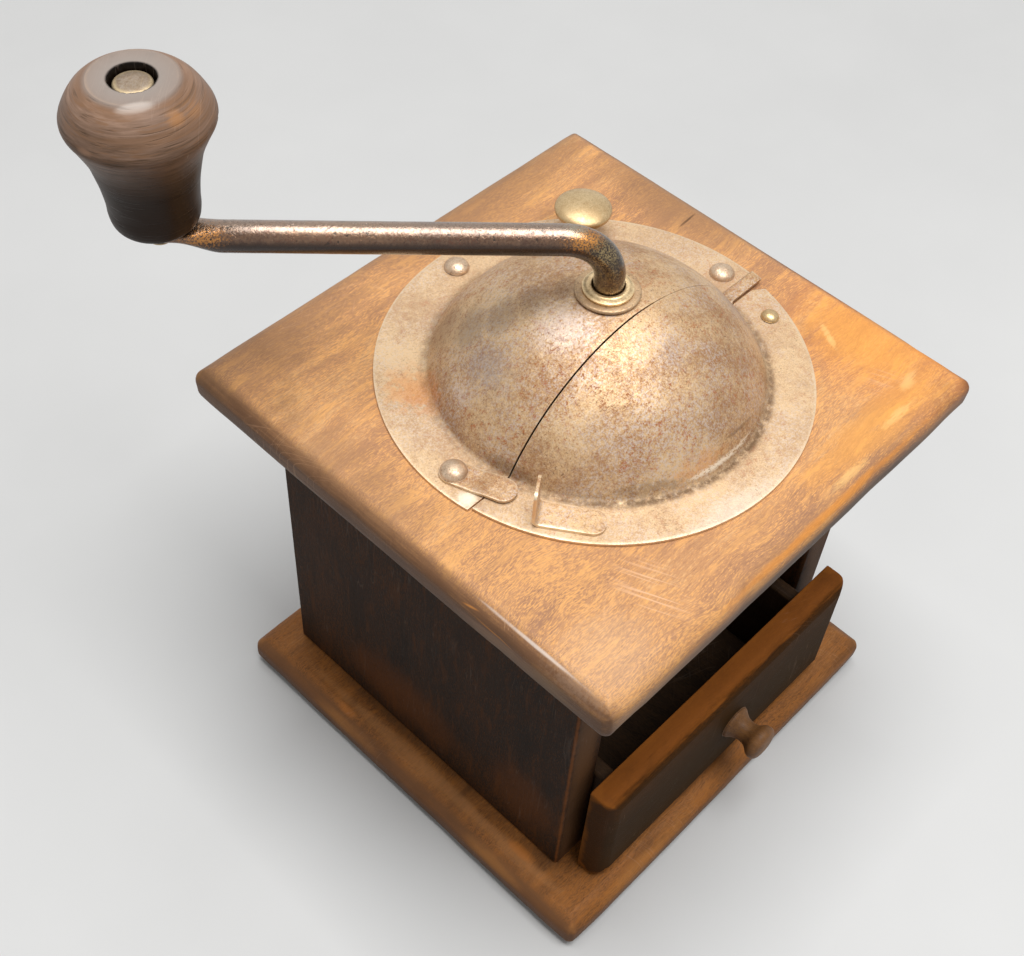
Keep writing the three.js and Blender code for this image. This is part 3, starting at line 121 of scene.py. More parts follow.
def hermite(points: Points, steps: int) -> list[Pair]:
    """A smooth line through points of [radius, height].

    Args:
        points: The places that the line passes through.
        steps: How many pieces each span is drawn in.

    Returns:
        The points of the smooth line.
    """
    place = np.asarray(points, float)
    slope = np.gradient(place, axis=0)
    line = []
    for i in range(len(place) - 1):
        for t in np.linspace(0, 1, steps, endpoint=False):
            a, b = 2 * t**3 - 3 * t**2 + 1, t**3 - 2 * t**2 + t
            c, d = -2 * t**3 + 3 * t**2, t**3 - t**2
            line.append(tuple(a * place[i] + b * slope[i] + c * place[i + 1] + d * slope[i + 1]))
    return [*line, tuple(place[-1])]


# Node graphs


class Graph:
    """Writes the nodes of one tree, for shaders and for geometry alike."""

    def __init__(self, tree: bpy.types.NodeTree):
        """Takes the tree to write in."""
        self.tree = tree

    def add(self, kind: str, inputs: Optional[dict] = None, **settings: Any) -> bpy.types.Node:
        """Adds a node.

        Args:
            kind: The node's type name.
            inputs: What goes into its sockets, by label or number.
            settings: The node's own settings.

        Returns:
            The new node.
        """
        node = self.tree.nodes.new(kind)
        for name, value in settings.items():
            setattr(node, name, value)
        for key, value in (inputs or {}).items():
            self.feed(node, key, value)
        return node

    def feed(self, node: bpy.types.Node, key: Union[int, str], value: Any) -> None:
        """Leads a value into a node's socket, or sets it there.

        Args:
            node: The node.
            key: The socket's label or number.
            value: A number, a colour, a material or another socket.
        """
        if isinstance(value, bpy.types.NodeSocket):
            self.tree.links.new(value, node.inputs[key])
        else:
            node.inputs[key].default_value = value

    def math(self, operation: str, *values: Value, clamp: bool = False) -> Socket:
        """One sum of numbers."""
        node = self.add("ShaderNodeMath", dict(enumerate(values)), operation=operation, use_clamp=clamp)
        return node.outputs[0]

    def times(self, first: Value, second: Value) -> Socket:
        """One number times another."""
        return self.math("MULTIPLY", first, second)

    def plus(self, first: Value, second: Value) -> Socket:
        """Two numbers together."""
        return self.math("ADD", first, second)

    def minus(self, first: Value, second: Value, clamp: bool = False) -> Socket:
        """One number less another, kept from 0 to 1 if wanted."""
        return self.math("SUBTRACT", first, second, clamp=clamp)

    def most(self, first: Value, second: Value) -> Socket:
        """The larger of two numbers."""
        return self.math("MAXIMUM", first, second)

    def vector(self, operation: str, *values: Value) -> Socket:
        """One sum of vectors."""
        node = self.add("ShaderNodeVectorMath", dict(enumerate(values)), operation=operation)
        return node.outputs["Value" if operation in ("LENGTH", "DOT_PRODUCT") else "Vector"]

    def band(
        self, value: Value, low: float, high: float, to_low: float = 0.0, to_high: float = 1.0
    ) -> Socket:
        """Spreads a band of a value over another range, with soft ends."""
        inputs = {"Value": value, "From Min": low, "From Max": high, "To Min": to_low, "To Max": to_high}
        return self.add("ShaderNodeMapRange", inputs, interpolation_type="SMOOTHSTEP").outputs["Result"]

    def mix(self, factor: Value, first: Value, second: Value, blend: str = "MIX") -> Socket:
        """Mixes two colours."""
        node = self.add("ShaderNodeMix", {0: factor, 6: first, 7: second}, data_type="RGBA", blend_type=blend)
        return node.outputs[2]

    def blend(self, factor: Value, first: Value, second: Value) -> Socket:
        """Mixes two numbers."""
        return self.add("ShaderNodeMix", {0: factor, 2: first, 3: second}).outputs[0]

    def place(
        self, vector: Value, scale: Triple = (1, 1, 1), turn: Triple = (0, 0, 0), shift: Triple = (0, 0, 0)
    ) -> Socket:
        """Shifts, turns and stretches a place."""
        inputs = {"Vector": vector, "Scale": scale, "Rotation": turn, "Location": shift}
        return self.add("ShaderNodeMapping", inputs).outputs[0]

    def noise(self, vector: Value, scale: float = 1.0, detail: float = 3.0, rough: float = 0.5) -> Socket:
        """Cloudy noise from 0 to 1."""
        inputs = {"Vector": vector, "Scale": scale, "Detail": detail, "Roughness": rough}
        return self.add("ShaderNodeTexNoise", inputs).outputs["Fac"]

    def number(self, name: str) -> Socket:
        """A number that the mesh carries, or 0 where it carries none."""
        return self.add("ShaderNodeAttribute", attribute_name=name).outputs["Fac"]

    def ramp(self, factor: Value, stops: Iterable[tuple[float, tuple]]) -> Socket:
        """A run of colours along a value.

        Args:
            factor: The value.
            stops: Where each colour stands, and the colour.

        Returns:
            The colour.
        """
        node = self.add("ShaderNodeValToRGB", {"Fac": factor})
        elements = node.color_ramp.elements
        for i, (place, shade) in enumerate(stops):
            element = elements[i] if i < 2 else elements.new(place)
            element.position = place
            element.color = shade
        return node.outputs["Color"]

    def spots(self, vector: Value, marks: Sequence["Mark"]) -> Value:
        """Finds the strongest of several soft spots at a place.

        Args:
            vector: The place on the object.
            marks: The spots.

        Returns:
            The strength there, 0 away from all of them.
        """
        found = 0.0
        for mark in marks:
            inputs = {
                "Vector": vector,
                "Location": [c * MM for c in mark.at],
                "Rotation": [math.radians(c) for c in mark.turn],
                "Scale": [c * MM for c in mark.reach],
            }
            node = self.add("ShaderNodeMapping", inputs, vector_type="TEXTURE")
            ball = self.add("ShaderNodeTexGradient", {"Vector": node.outputs[0]}, gradient_type="SPHERICAL")
            value = self.times(self.band(ball.outputs["Fac"], 0, 0.9), mark.strength)
            found = self.most(found, value)
        return found

    def layered(self, shade: Value, place: Value, along: Value, layers: Sequence["Layer"]) -> Value:
        """Lays layers over a shade.

        Args:
            shade: The colour under them.
            place: The place on the object.
            along: The same place, turned so that the grain runs along X.
            layers: The layers, in order.

        Returns:
            The colour with every layer on it.
        """
        for layer in layers:
            spots = self.spots(place, layer.marks)
            rough = self.noise(self.place(along, layer.stretch), detail=5, rough=0.65)
            broken = self.times(self.minus(rough, 0.5), layer.ragged * 2)
            there = self.times(self.band(self.plus(spots, broken), 0.2, 0.8), spots)
            amount = self.times(there, layer.amount)
            shade = self.mix(amount, shade, colour(layer.shade), layer.blend)
        return shade


@dataclass(frozen=True)
class Mark:
    """A worn, stained or scratched place, as a soft ball stretched and turned."""

    at: Triple
    reach: Triple
    strength: float = 1.0
    turn: Triple = (0.0, 0.0, 0.0)


@dataclass(frozen=True)
class Layer:
    """A colour laid over a finish in a few places, its outline broken up by noise."""

    shade: str
    amount: float
    ragged: float
    stretch: Triple
    marks: tuple[Mark, ...]
    blend: str = "MIX"


def patch(
    shade: str, amount: float, ragged: float, stretch: Union[float, Triple], *marks: Mark,
    blend: str = "MIX",
) -> Layer:
    """Lays one colour over several places, its noise stretched along each axis or along all."""
    along = stretch if isinstance(stretch, tuple) else (stretch,) * 3
    return Layer(shade, amount, ragged, along, marks, blend)


class Group:
    """A node group with named inputs and outputs."""

    kind = "ShaderNodeTree"

    def __init__(self, name: str, inputs: dict[str, str], outputs: dict[str, str]):
        """Makes the group's tree and its sockets.

        Args:
            name: The group's name.
            inputs: The kind of each socket that goes in, by its label.
            outputs: The kind of each socket that comes out, by its label.
        """
        self.tree = bpy.data.node_groups.new(name, self.kind)
        for label, kind in inputs.items():
            self.tree.interface.new_socket(label, in_out="INPUT", socket_type="NodeSocket" + kind)
        for label, kind in outputs.items():
            self.tree.interface.new_socket(label, in_out="OUTPUT", socket_type="NodeSocket" + kind)
        self.graph = Graph(self.tree)
        self.inputs = self.graph.add("NodeGroupInput").outputs
        self.outputs = self.graph.add("NodeGroupOutput").inputs

    def give(self, label: str, socket: Socket) -> None:
        """Sends a value out of the group."""
        self.tree.links.new(socket, self.outputs[label])


class Effect(Group):
    """A shader node group that several finishes share."""

    def use(self, graph: Graph, **inputs: Value) -> Any:
        """Puts the group in a material.

        Args:
            graph: The material's graph.
            inputs: What goes into the group, by label.

        Returns:
            The group's outputs.
        """
        node = graph.add("ShaderNodeGroup", node_tree=self.tree)
        for label, value in inputs.items():
            graph.feed(node, label, value)
        return node.outputs


def wood_grain() -> Effect:
    """Soft bands, short flecks and open pores along X.

    Returns:
        The effect, which gives a colour and a height.
    """
    kinds = {"Vector": "Vector", "Light": "Color", "Mid": "Color", "Dark": "Color", "Fleck": "Color"}
    effect = Effect("wood_grain", kinds, {"Color": "Color", "Height": "Float"})
    graph, given = effect.graph, effect.inputs
    at = given["Vector"]
    cloud = graph.add("ShaderNodeTexNoise", {"Vector": at, "Scale": 30.0, "Detail": 2.0})
    warp = graph.vector("SUBTRACT", cloud.outputs["Color"], (0.5, 0.5, 0.5))
    bent = graph.vector("ADD", at, graph.vector("MULTIPLY", warp, (0.0, 0.008, 0.008)))
    bands = graph.noise(graph.place(bent, (9, 80, 80)), detail=3, rough=0.6)
    short = graph.noise(graph.place(bent, (700, 2600, 2600)), detail=3, rough=0.7)
    fibre = graph.noise(graph.place(bent, (60, 2300, 2300)), detail=2)
    patches = graph.noise(at, 34, detail=5, rough=0.65)
    tone = graph.plus(graph.times(bands, 0.27), graph.times(short, 0.3))
    tone = graph.plus(tone, graph.times(fibre, 0.18))
    tone = graph.plus(tone, graph.times(patches, 0.25))
    low = graph.band(tone, 0.38, 0.52)
    high = graph.band(tone, 0.5, 0.64)
    shade = graph.mix(high, graph.mix(low, given["Dark"], given["Mid"]), given["Light"])
    gold = graph.noise(graph.place(bent, (700, 3200, 3200), shift=(0.4, 0.2, 0.1)), detail=2, rough=0.6)
    spread = graph.noise(at, 26, detail=3)
    sum_of_both = graph.plus(gold, graph.times(spread, 0.35))
    shade = graph.mix(graph.band(sum_of_both, 0.67, 0.79, 0, 0.65), shade, given["Fleck"])
    wisps = graph.noise(graph.place(bent, (60, 380, 380), shift=(0.9, 0.3, 0.6)), detail=3, rough=0.55)
    shade = graph.mix(graph.band(wisps, 0.54, 0.66, 0, 0.5), shade, given["Fleck"])
    streaks = graph.noise(graph.place(bent, (22, 170, 170), shift=(0.2, 0.7, 0.1)), detail=4, rough=0.6)
    shade = graph.mix(graph.band(streaks, 0.5, 0.68, 0, 0.5), shade, given["Dark"])
    pores = graph.band(graph.noise(graph.place(bent, (190, 3400, 3400)), detail=1), 0.6, 0.72)
    shade = graph.mix(graph.times(pores, 0.45), shade, given["Dark"])
    effect.give("Color", shade)
    effect.give("Height", graph.minus(graph.times(fibre, 0.6), pores))
    return effect


def edge_wear() -> Effect:
    """Where the edges of a box, or of a shape with its own edge mark, are rubbed bare.

    Returns:
        The effect, which gives where the surface is worn.
    """
    kinds = {"Vector": "Vector", "Centre": "Vector", "Half": "Vector", "Width": "Float", "Edge": "Float"}
    effect = Effect("edge_wear", kinds, {"Mask": "Float"})
    graph, given = effect.graph, effect.inputs
    at = given["Vector"]
    away = graph.vector("ABSOLUTE", graph.vector("SUBTRACT", at, given["Centre"]))
    inside = graph.vector("SUBTRACT", given["Half"], away)
    parts = graph.add("ShaderNodeSeparateXYZ", {0: inside}).outputs
    total = None
    for part in parts:
        near = graph.minus(1.0, graph.math("DIVIDE", part, given["Width"]), clamp=True)
        total = near if total is None else graph.plus(total, near)
    boxed = graph.minus(total, 1.0, clamp=True)
    edge = graph.most(boxed, given["Edge"])
    coarse = graph.noise(at, 75, detail=4, rough=0.6)
    fine = graph.noise(at, 700, detail=3, rough=0.6)
    rub = graph.plus(graph.times(coarse, 1.1), graph.times(fine, 0.5))
    worn = graph.plus(edge, graph.minus(rub, 0.8))
    effect.give("Mask", graph.times(graph.band(worn, 0.45, 1.05), graph.band(edge, 0.05, 0.4)))
    return effect


def hairlines() -> Effect:
    """Thin scratches in three directions, in scattered places.

    Returns:
        The effect, which gives where the scratches lie.
    """
    effect = Effect("hairlines", {"Vector": "Vector"}, {"Mask": "Float"})
    graph, at = effect.graph, effect.inputs["Vector"]
    total = None
    for turn, seed in ((0.3, 0.0), (1.25, 3.1), (-0.7, 7.7)):
        turned = graph.place(at, turn=(0, 0, turn), shift=(seed, seed, seed))
        value = graph.noise(graph.place(turned, (22, 520, 22)), detail=1)
        line = graph.band(graph.math("ABSOLUTE", graph.minus(value, 0.5)), 0.0, 0.012, 1, 0)
        there = graph.band(graph.noise(turned, 34, detail=2), 0.58, 0.66)
        line = graph.times(line, there)
        total = line if total is None else graph.most(total, line)
    effect.give("Mask", total)
    return effect


def patina() -> Effect:
    """Old metal: tarnish in clouds, fine rust specks, grey bloom and dark pits.

    Returns:
        The effect, which gives a mask for each of them and a height.
    """
    masks = {"Tarnish": "Float", "Rust": "Float", "Bloom": "Float", "Pits": "Float", "Height": "Float"}
    effect = Effect("patina", {"Vector": "Vector"}, masks)
    graph, at = effect.graph, effect.inputs["Vector"]
    cloud = graph.noise(at, 48, detail=4, rough=0.6)
    mottle = graph.noise(at, 620, detail=5, rough=0.75)
    grit = graph.noise(at, 2300, detail=3, rough=0.7)
    tone = graph.plus(graph.times(cloud, 0.4), graph.times(mottle, 0.3))
    tone = graph.plus(tone, graph.times(grit, 0.3))
    effect.give("Tarnish", graph.band(tone, 0.4, 0.6))
    here = graph.band(graph.noise(at, 75, detail=4, rough=0.65), 0.42, 0.62, 0.15, 1)
    specks = graph.band(graph.plus(graph.times(mottle, 0.6), graph.times(grit, 0.4)), 0.52, 0.62)
    effect.give("Rust", graph.times(specks, here))
    veil = graph.noise(graph.place(at, shift=(0.31, 0.17, 0.05)), 62, detail=4, rough=0.65)
    frost = graph.noise(graph.place(at, shift=(0.7, 0.1, 0.4)), 1500, detail=4, rough=0.75)
    effect.give("Bloom", graph.times(graph.band(veil, 0.4, 0.6, 0.25, 1), graph.band(frost, 0.44, 0.6)))
    dots = graph.band(graph.noise(at, 1500, detail=2), 0.6, 0.7)
    pits = graph.times(dots, graph.band(veil, 0.55, 0.4, 0.15, 1))
    effect.give("Pits", pits)
    effect.give("Height", graph.minus(graph.plus(mottle, graph.times(grit, 0.5)), pits))
    return effect


# Finishes


class Effects:
    """The shared effects, each made once."""

    def __init__(self):
        """Makes the four effects."""
        self.grain = wood_grain()
        self.wear = edge_wear()
        self.hairlines = hairlines()
        self.patina = patina()


class Grain(Enum):
    """How a piece of wood lies: the turn that brings its grain to X, and a stretch along each axis."""

    X = ((0.0, 0.0, 0.0), (1.0, 1.0, 1.0))
    Y = ((0.0, 0.0, -math.pi / 2), (1.0, 1.0, 1.0))
    Z = ((0.0, math.pi / 2, 0.0), (1.0, 1.0, 1.0))
    TURNED = ((0.0, 0.0, 0.0), (0.12, 0.05, 0.7))


@dataclass(frozen=True)
class Wood:
    """A wood with stain and worn edges."""

    name: str
    light: str
    mid: str
    dark: str
    fleck: str
    bare: str
    dirt_and_shade: str = "24160c"
    end: str = ""
    grain: Grain = Grain.X
    wear_width: float = 3.0
    wear_amount: float = 0.7
    grime: float = 0.35
    roughness: float = 0.5
    specular: float = 0.5
    bump: float = 0.35
    coat: float = 0.25
    coat_roughness: float = 0.4
    hairlines: float = 0.1
    shift: Triple = (0.0, 0.0, 0.0)
    layers: tuple[Layer, ...] = ()
    scratches: tuple[Mark, ...] = ()

    def material(self, effects: Effects, low: Vector, high: Vector) -> bpy.types.Material:
        """Makes the finish for a piece.

        Args:
            effects: The shared effects.
            low: The lowest corner of the piece's box.
            high: The highest corner of it.

        Returns:
            The material.
        """
        made, graph, shader, place = new_material(self.name)
        turn, stretch = self.grain.value
        along = graph.place(graph.place(place, stretch), turn=turn, shift=self.shift)
        shades = {"Light": self.light, "Mid": self.mid, "Dark": self.dark, "Fleck": self.fleck}
        shades = {label: colour(code) for label, code in shades.items()}
        grain = effects.grain.use(graph, Vector=along, **shades)
        shade = self.stains_and_painted_light(graph, place, along, grain["Color"])
        inputs = {"Centre": (low + high) / 2, "Half": (high - low) / 2, "Width": self.wear_width * MM}
        wear = effects.wear.use(graph, Vector=place, Edge=graph.number("edge"), **inputs)
        worn = graph.times(wear["Mask"], self.wear_amount)
        shade = graph.mix(worn, shade, graph.mix(0.35, colour(self.bare), shade))
        # Dirt in clouds, painted shade under the boards' edges, dirt and painted shade in the handle's and
        # pull's concave corners.
        shade = self.dirtied_and_shaded(graph, place, along, shade)
        cuts = self.cuts(effects, graph, place)
        shade = graph.mix(cuts, shade, graph.mix(0.3, colour(self.bare), PALE_CUT))
        rough = graph.blend(worn, self.roughness, self.roughness + 0.1)
        rough = graph.plus(rough, graph.times(graph.minus(grain["Height"], 0.1), 0.12))
        height = graph.minus(grain["Height"], graph.times(cuts, 1.5))
        finish_surface(graph, shader, self, shade, rough, height)
        graph.feed(shader, "Specular IOR Level", self.specular)
        return made

    def stains_and_painted_light(self, graph: Graph, place: Socket, along: Socket, shade: Value) -> Value:
        """Lays the end grain and the layers over the wood: stains, and on some pieces painted highlights and
        painted shade.

        Args:
            graph: The material's graph.
            place: The place on the object.
            along: The same place with the grain along X.
            shade: The colour of the wood.

        Returns:
            The colour with its layers.
        """
        if self.end:
            fibres = graph.noise(graph.place(place, (700, 45, 900)), detail=4, rough=0.6)
            lines = graph.band(fibres, 0.2, 0.6, 0.65, 1)
            shade = graph.mix(graph.times(graph.number("end"), lines), shade, colour(self.end))
        return graph.layered(shade, place, along, self.layers)

    def dirtied_and_shaded(self, graph: Graph, place: Socket, along: Socket, shade: Value) -> Socket:
        """Lays dirt in clouds, and the dirt and painted shade that the mesh marks, over the wood.

        Args:
            graph: The material's graph.
            place: The place on the object.
            along: The same place with the grain along X.
            shade: The colour under the dirt and painted shade.

        Returns:
            The colour with dirt and painted shade.
        """
        clouds = graph.band(graph.noise(place, 33, detail=6, rough=0.65), 0.5, 0.78, 0, self.grime)
        ragged = graph.band(graph.noise(along, 60, detail=4), 0.25, 0.6, 0.5, 1)
        # The mesh's mark: painted shade towards the boards' undersides, dirt and painted shade in turned
        # pieces' concave corners.
        marked_dirt_and_shade = graph.times(graph.number("grime"), ragged)
        return graph.mix(graph.most(clouds, marked_dirt_and_shade), shade, colour(self.dirt_and_shade))

    def cuts(self, effects: Effects, graph: Graph, place: Socket) -> Socket:
        """Finds where the wood is scratched.

        Args:
            effects: The shared effects.
            graph: The material's graph.
            place: The place on the object.

        Returns:
            How much the scratches show there.
        """
        lines = graph.times(effects.hairlines.use(graph, Vector=place)["Mask"], self.hairlines)
        if not self.scratches:
            return lines
        turned = graph.place(place, turn=(0, 0, 1.17))
        fine = graph.band(graph.noise(graph.place(turned, (50, 1300, 50)), detail=1), 0.53, 0.64)
        return graph.most(lines, graph.times(fine, graph.spots(place, self.scratches)))


@dataclass(frozen=True)
class Metal:
    """An old metal with tarnish, rust and bright rubbed edges."""

    name: str
    clean: str
    tarnish: str
    rust: str
    bloom: str
    bright: str
    dirt_and_shade: str = "3a281b"
    metallic: float = 0.85
    roughness: float = 0.42
    tarnish_amount: float = 0.7
    rust_amount: float = 0.6
    bloom_amount: float = 0.4
    pit_amount: float = 0.5
    wear_amount: float = 0.8
    wear_width: float = 1.0
    bump: float = 0.3
    coat: float = 0.0
    coat_roughness: float = 0.22
    scratches: float = 0.15
    scale: float = 1.0
    layers: tuple[Layer, ...] = ()

    def material(self, effects: Effects, low: Vector, high: Vector) -> bpy.types.Material:
        """Makes the finish for a piece.

        Args:
            effects: The shared effects.
            low: The lowest corner of the piece's box.
            high: The highest corner of it.

        Returns:
            The material.
        """
        made, graph, shader, place = new_material(self.name)
        old = effects.patina.use(graph, Vector=graph.place(place, (self.scale,) * 3))
        rust = graph.times(old["Rust"], self.rust_amount)
        shade = colour(self.clean)
        for there, over in (
            (graph.times(old["Tarnish"], self.tarnish_amount), self.tarnish),
            (graph.times(old["Bloom"], self.bloom_amount), self.bloom),
            (rust, self.rust),
            (graph.times(old["Pits"], self.pit_amount), self.dirt_and_shade),
        ):
            shade = graph.mix(there, shade, colour(over))
        shade = graph.layered(shade, place, place, self.layers)
        # Darker where the mesh is marked: dirt at the hood's foot, dirt and painted shade in turned pieces'
        # concave corners.
        ragged = graph.band(graph.noise(place, 500, detail=5, rough=0.7), 0.3, 0.6, 0.2, 1)
        dirtied_and_shaded = graph.times(graph.number("grime"), ragged)
        shade = graph.mix(dirtied_and_shaded, shade, colour(self.dirt_and_shade))
        beyond = (high - low) / 2 + Vector((1, 1, 1))
        inputs = {"Centre": (low + high) / 2, "Half": beyond, "Width": self.wear_width * MM}
        wear = effects.wear.use(graph, Vector=place, Edge=graph.number("edge"), **inputs)
        worn = graph.times(wear["Mask"], self.wear_amount)
        lines = graph.times(effects.hairlines.use(graph, Vector=place)["Mask"], self.scratches)
        shade = graph.mix(graph.most(worn, lines), shade, colour(self.bright))
        dull = graph.most(rust, dirtied_and_shaded)
        rough = graph.plus(self.roughness, graph.times(dull, 0.45))
        rough = graph.plus(rough, graph.times(graph.minus(old["Tarnish"], 0.5), 0.12))
        rough = graph.minus(rough, graph.times(worn, 0.1), clamp=True)
        finish_surface(graph, shader, self, shade, rough, old["Height"])
        graph.feed(shader, "Metallic", graph.blend(dull, self.metallic, 0.1))
        return made


Finish = Union[Wood, Metal]


def new_material(name: str) -> tuple[bpy.types.Material, Graph, bpy.types.Node, Socket]:
    """A material with one Principled shader.

    Args:
        name: The material's name.

    Returns:
        The material, its graph, the shader node and the place on the object.
    """
    made = bpy.data.materials.new(name)
    made.use_nodes = True
    made.node_tree.nodes.clear()
    graph = Graph(made.node_tree)
    shader = graph.add("ShaderNodeBsdfPrincipled")
    graph.add("ShaderNodeOutputMaterial", {"Surface": shader.outputs[0]})
    place = graph.add("ShaderNodeTexCoord").outputs["Object"]
    return made, graph, shader, place


def finish_surface(
    graph: Graph, shader: bpy.types.Node, finish: Finish, shade: Value, rough: Value, height: Value
) -> None:
    """Leads what every finish has into its shader.

    Args:
        graph: The material's graph.
        shader: Its shader.
        finish: The finish.
        shade: The colour.
        rough: The roughness.
        height: The height of the fine relief.
    """
    relief = graph.add("ShaderNodeBump", {"Height": height, "Strength": finish.bump, "Distance": RELIEF})
    for label, value in (
        ("Base Color", shade),
        ("Roughness", rough),
        ("Normal", relief.outputs[0]),
        ("Coat Weight", finish.coat),
        ("Coat Roughness", finish.coat_roughness),
    ):
        graph.feed(shader, label, value)


# Meshes


def add_object(name: str, data: bpy.types.ID) -> Piece:
    """Puts a mesh, a lamp or a camera in the scene, at the origin.

    Args:
        name: The object's name.
        data: The mesh, lamp or camera.

    Returns:
        The object.
    """
    made = bpy.data.objects.new(name, data)
    bpy.context.scene.collection.objects.link(made)
    return made


@contextmanager
def opened(mesh: Mesh) -> Iterator[bmesh.types.BMesh]:
    """Opens a mesh for editing, and writes it back afterwards.

    Args:
        mesh: The mesh.

    Yields:
        The mesh, open for editing.
    """
    body = bmesh.new()
    body.from_mesh(mesh)
    yield body
    body.to_mesh(mesh)
    body.free()


def mesh_from(
    name: str, points: np.ndarray, faces: Sequence[Sequence[int]], **marks: np.ndarray
) -> Mesh:
    """A mesh in metres from points in millimetres, with outward normals.

    Args:
        name: The mesh's name.
        points: Its points.
        faces: The points of each face.
        marks: Numbers that each point carries, such as edge and grime, which marks dirt and painted shade.

    Returns:
        The mesh.
    """
    mesh = bpy.data.meshes.new(name)
    mesh.from_pydata((np.asarray(points, float) * MM).tolist(), [], [list(f) for f in faces])
    for label, values in marks.items():
        data = mesh.attributes.new(label, "FLOAT", "POINT").data
        data.foreach_set("value", np.asarray(values, np.float32))
    with opened(mesh) as body:
        bmesh.ops.remove_doubles(body, verts=body.verts, dist=MERGED)
        bmesh.ops.recalc_face_normals(body, faces=body.faces)
    return mesh


def smoothed(mesh: Mesh, angle: float = 40.0) -> Mesh:
    """Shades a mesh smooth.

    Args:
        mesh: The mesh.
        angle: Edges sharper than this stay sharp, in degrees.

    Returns:
        The same mesh.
    """
    mesh.shade_smooth()
    mesh.set_sharp_from_angle(angle=math.radians(angle))
    return mesh


def loft(rings: Sequence[np.ndarray], closed: bool) -> tuple[np.ndarray, list[tuple[int, ...]]]:
    """Joins rings of points, each with the same count.

    Args:
        rings: The rings, in order.
        closed: True joins the last ring to the first. False caps both ends.

    Returns:
        The points and the faces.
    """
    count = len(rings[0])
    faces = []
    spans = len(rings) if closed else len(rings) - 1
    for i in range(spans):
        a, b = i * count, ((i + 1) % len(rings)) * count
        for j in range(count):
            k = (j + 1) % count
            faces.append((a + j, a + k, b + k, b + j))
    if not closed:
        faces.append(tuple(reversed(range(count))))
        faces.append(tuple(range((len(rings) - 1) * count, len(rings) * count)))
    return np.vstack(rings), faces


def lathe(
    name: str,
    profile: Points,
    segments: int = 64,
    wobble: Optional[Callable[[Vector], float]] = None,
    closed: bool = False,
    bare: float | Sequence[float] = 1.0,
) -> Mesh:
    """Turns a profile about Z.

    Args:
        name: The mesh's name.
        profile: Points of [radius, height]; a radius of 0 is a pole.
        segments: How many sides the turn has.
        wobble: How far a place is worn away, in millimetres.
        closed: True joins the profile's end to its start.
        bare: How much its ridges are marked as edges, for all or for each point.

    Returns:
        The mesh, smooth, with its ridges marked and its concave corners marked for dirt and painted shade.
    """
    line = np.asarray(profile, float)
    ahead = np.roll(line, -1, axis=0) - line
    behind = line - np.roll(line, 1, axis=0)
    cross = behind[:, 0] * ahead[:, 1] - behind[:, 1] * ahead[:, 0]
    dot = (ahead * behind).sum(axis=1)
    bend = np.arctan2(cross, dot)
    if not closed:
        bend[0] = bend[-1] = 0
    side = 1.0 if (line[:, 0] * (np.roll(line[:, 1], -1) - np.roll(line[:, 1], 1))).sum() >= 0 else -1.0
    ridge = np.clip(side * bend / math.radians(35), 0, 1) * np.asarray(bare)
    # Concave corners darken: dirt and painted shade in the hollows.
    valley = np.clip(-side * bend / math.radians(35), 0, 1) * 0.8
    angles = np.linspace(0, 2 * math.pi, segments, endpoint=False)
    round_about = np.stack([np.cos(angles), np.sin(angles)], axis=1)
    rings = []
    for radius, height in line:
        ring = np.zeros((segments, 3))
        ring[:, :2] = round_about * max(radius, 0)
        ring[:, 2] = height
        if wobble and radius > 0:
            for point in ring:
                shrink = 1 - wobble(Vector(point)) / max(radius, 0.5)
                point[:2] *= shrink
        rings.append(ring)
    points, faces = loft(rings, True)
    if not closed:
        faces = faces[: -segments]
    edge, grime = np.repeat(ridge, segments), np.repeat(valley, segments)
    return smoothed(mesh_from(name, points, faces, edge=edge, grime=grime))


def outline(half: Pair, inset: float, corner: float) -> np.ndarray:
    """Draws a rectangle with round corners, with the same count of points at every inset.

    Args:
        half: Half the rectangle's width and depth.
        inset: How far inside the rectangle the line runs.
        corner: The radius of the corners at no inset.

    Returns:
        The points.
    """
    arc_steps, side_steps = 6, 36
    radius = max(corner - inset, 0.25)
    reach = (half[0] - inset - radius, half[1] - inset - radius)
    signs = ((1, -1), (1, 1), (-1, 1), (-1, -1))
    quarter = math.radians(90)
    points = []

    def on_arc(k: int, angle: float) -> Pair:
        """A point on the arc of one corner."""
        sx, sy = signs[k % 4]
        return sx * reach[0] + radius * math.cos(angle), sy * reach[1] + radius * math.sin(angle)

    for k in range(4):
        start = math.radians(90 * (k - 1))
        for i in range(arc_steps + 1):
            points.append(on_arc(k, start + quarter * i / arc_steps))
        last, following = np.array(points[-1]), np.array(on_arc(k + 1, start + quarter))
        for share in np.linspace(0, 1, side_steps + 1)[1:-1]:
            points.append(tuple(last + (following - last) * share))
    return np.array(points)


@dataclass(frozen=True)
class Dent:
    """A small hollow knocked into an edge."""

    at: Triple
    reach: float
    depth: float


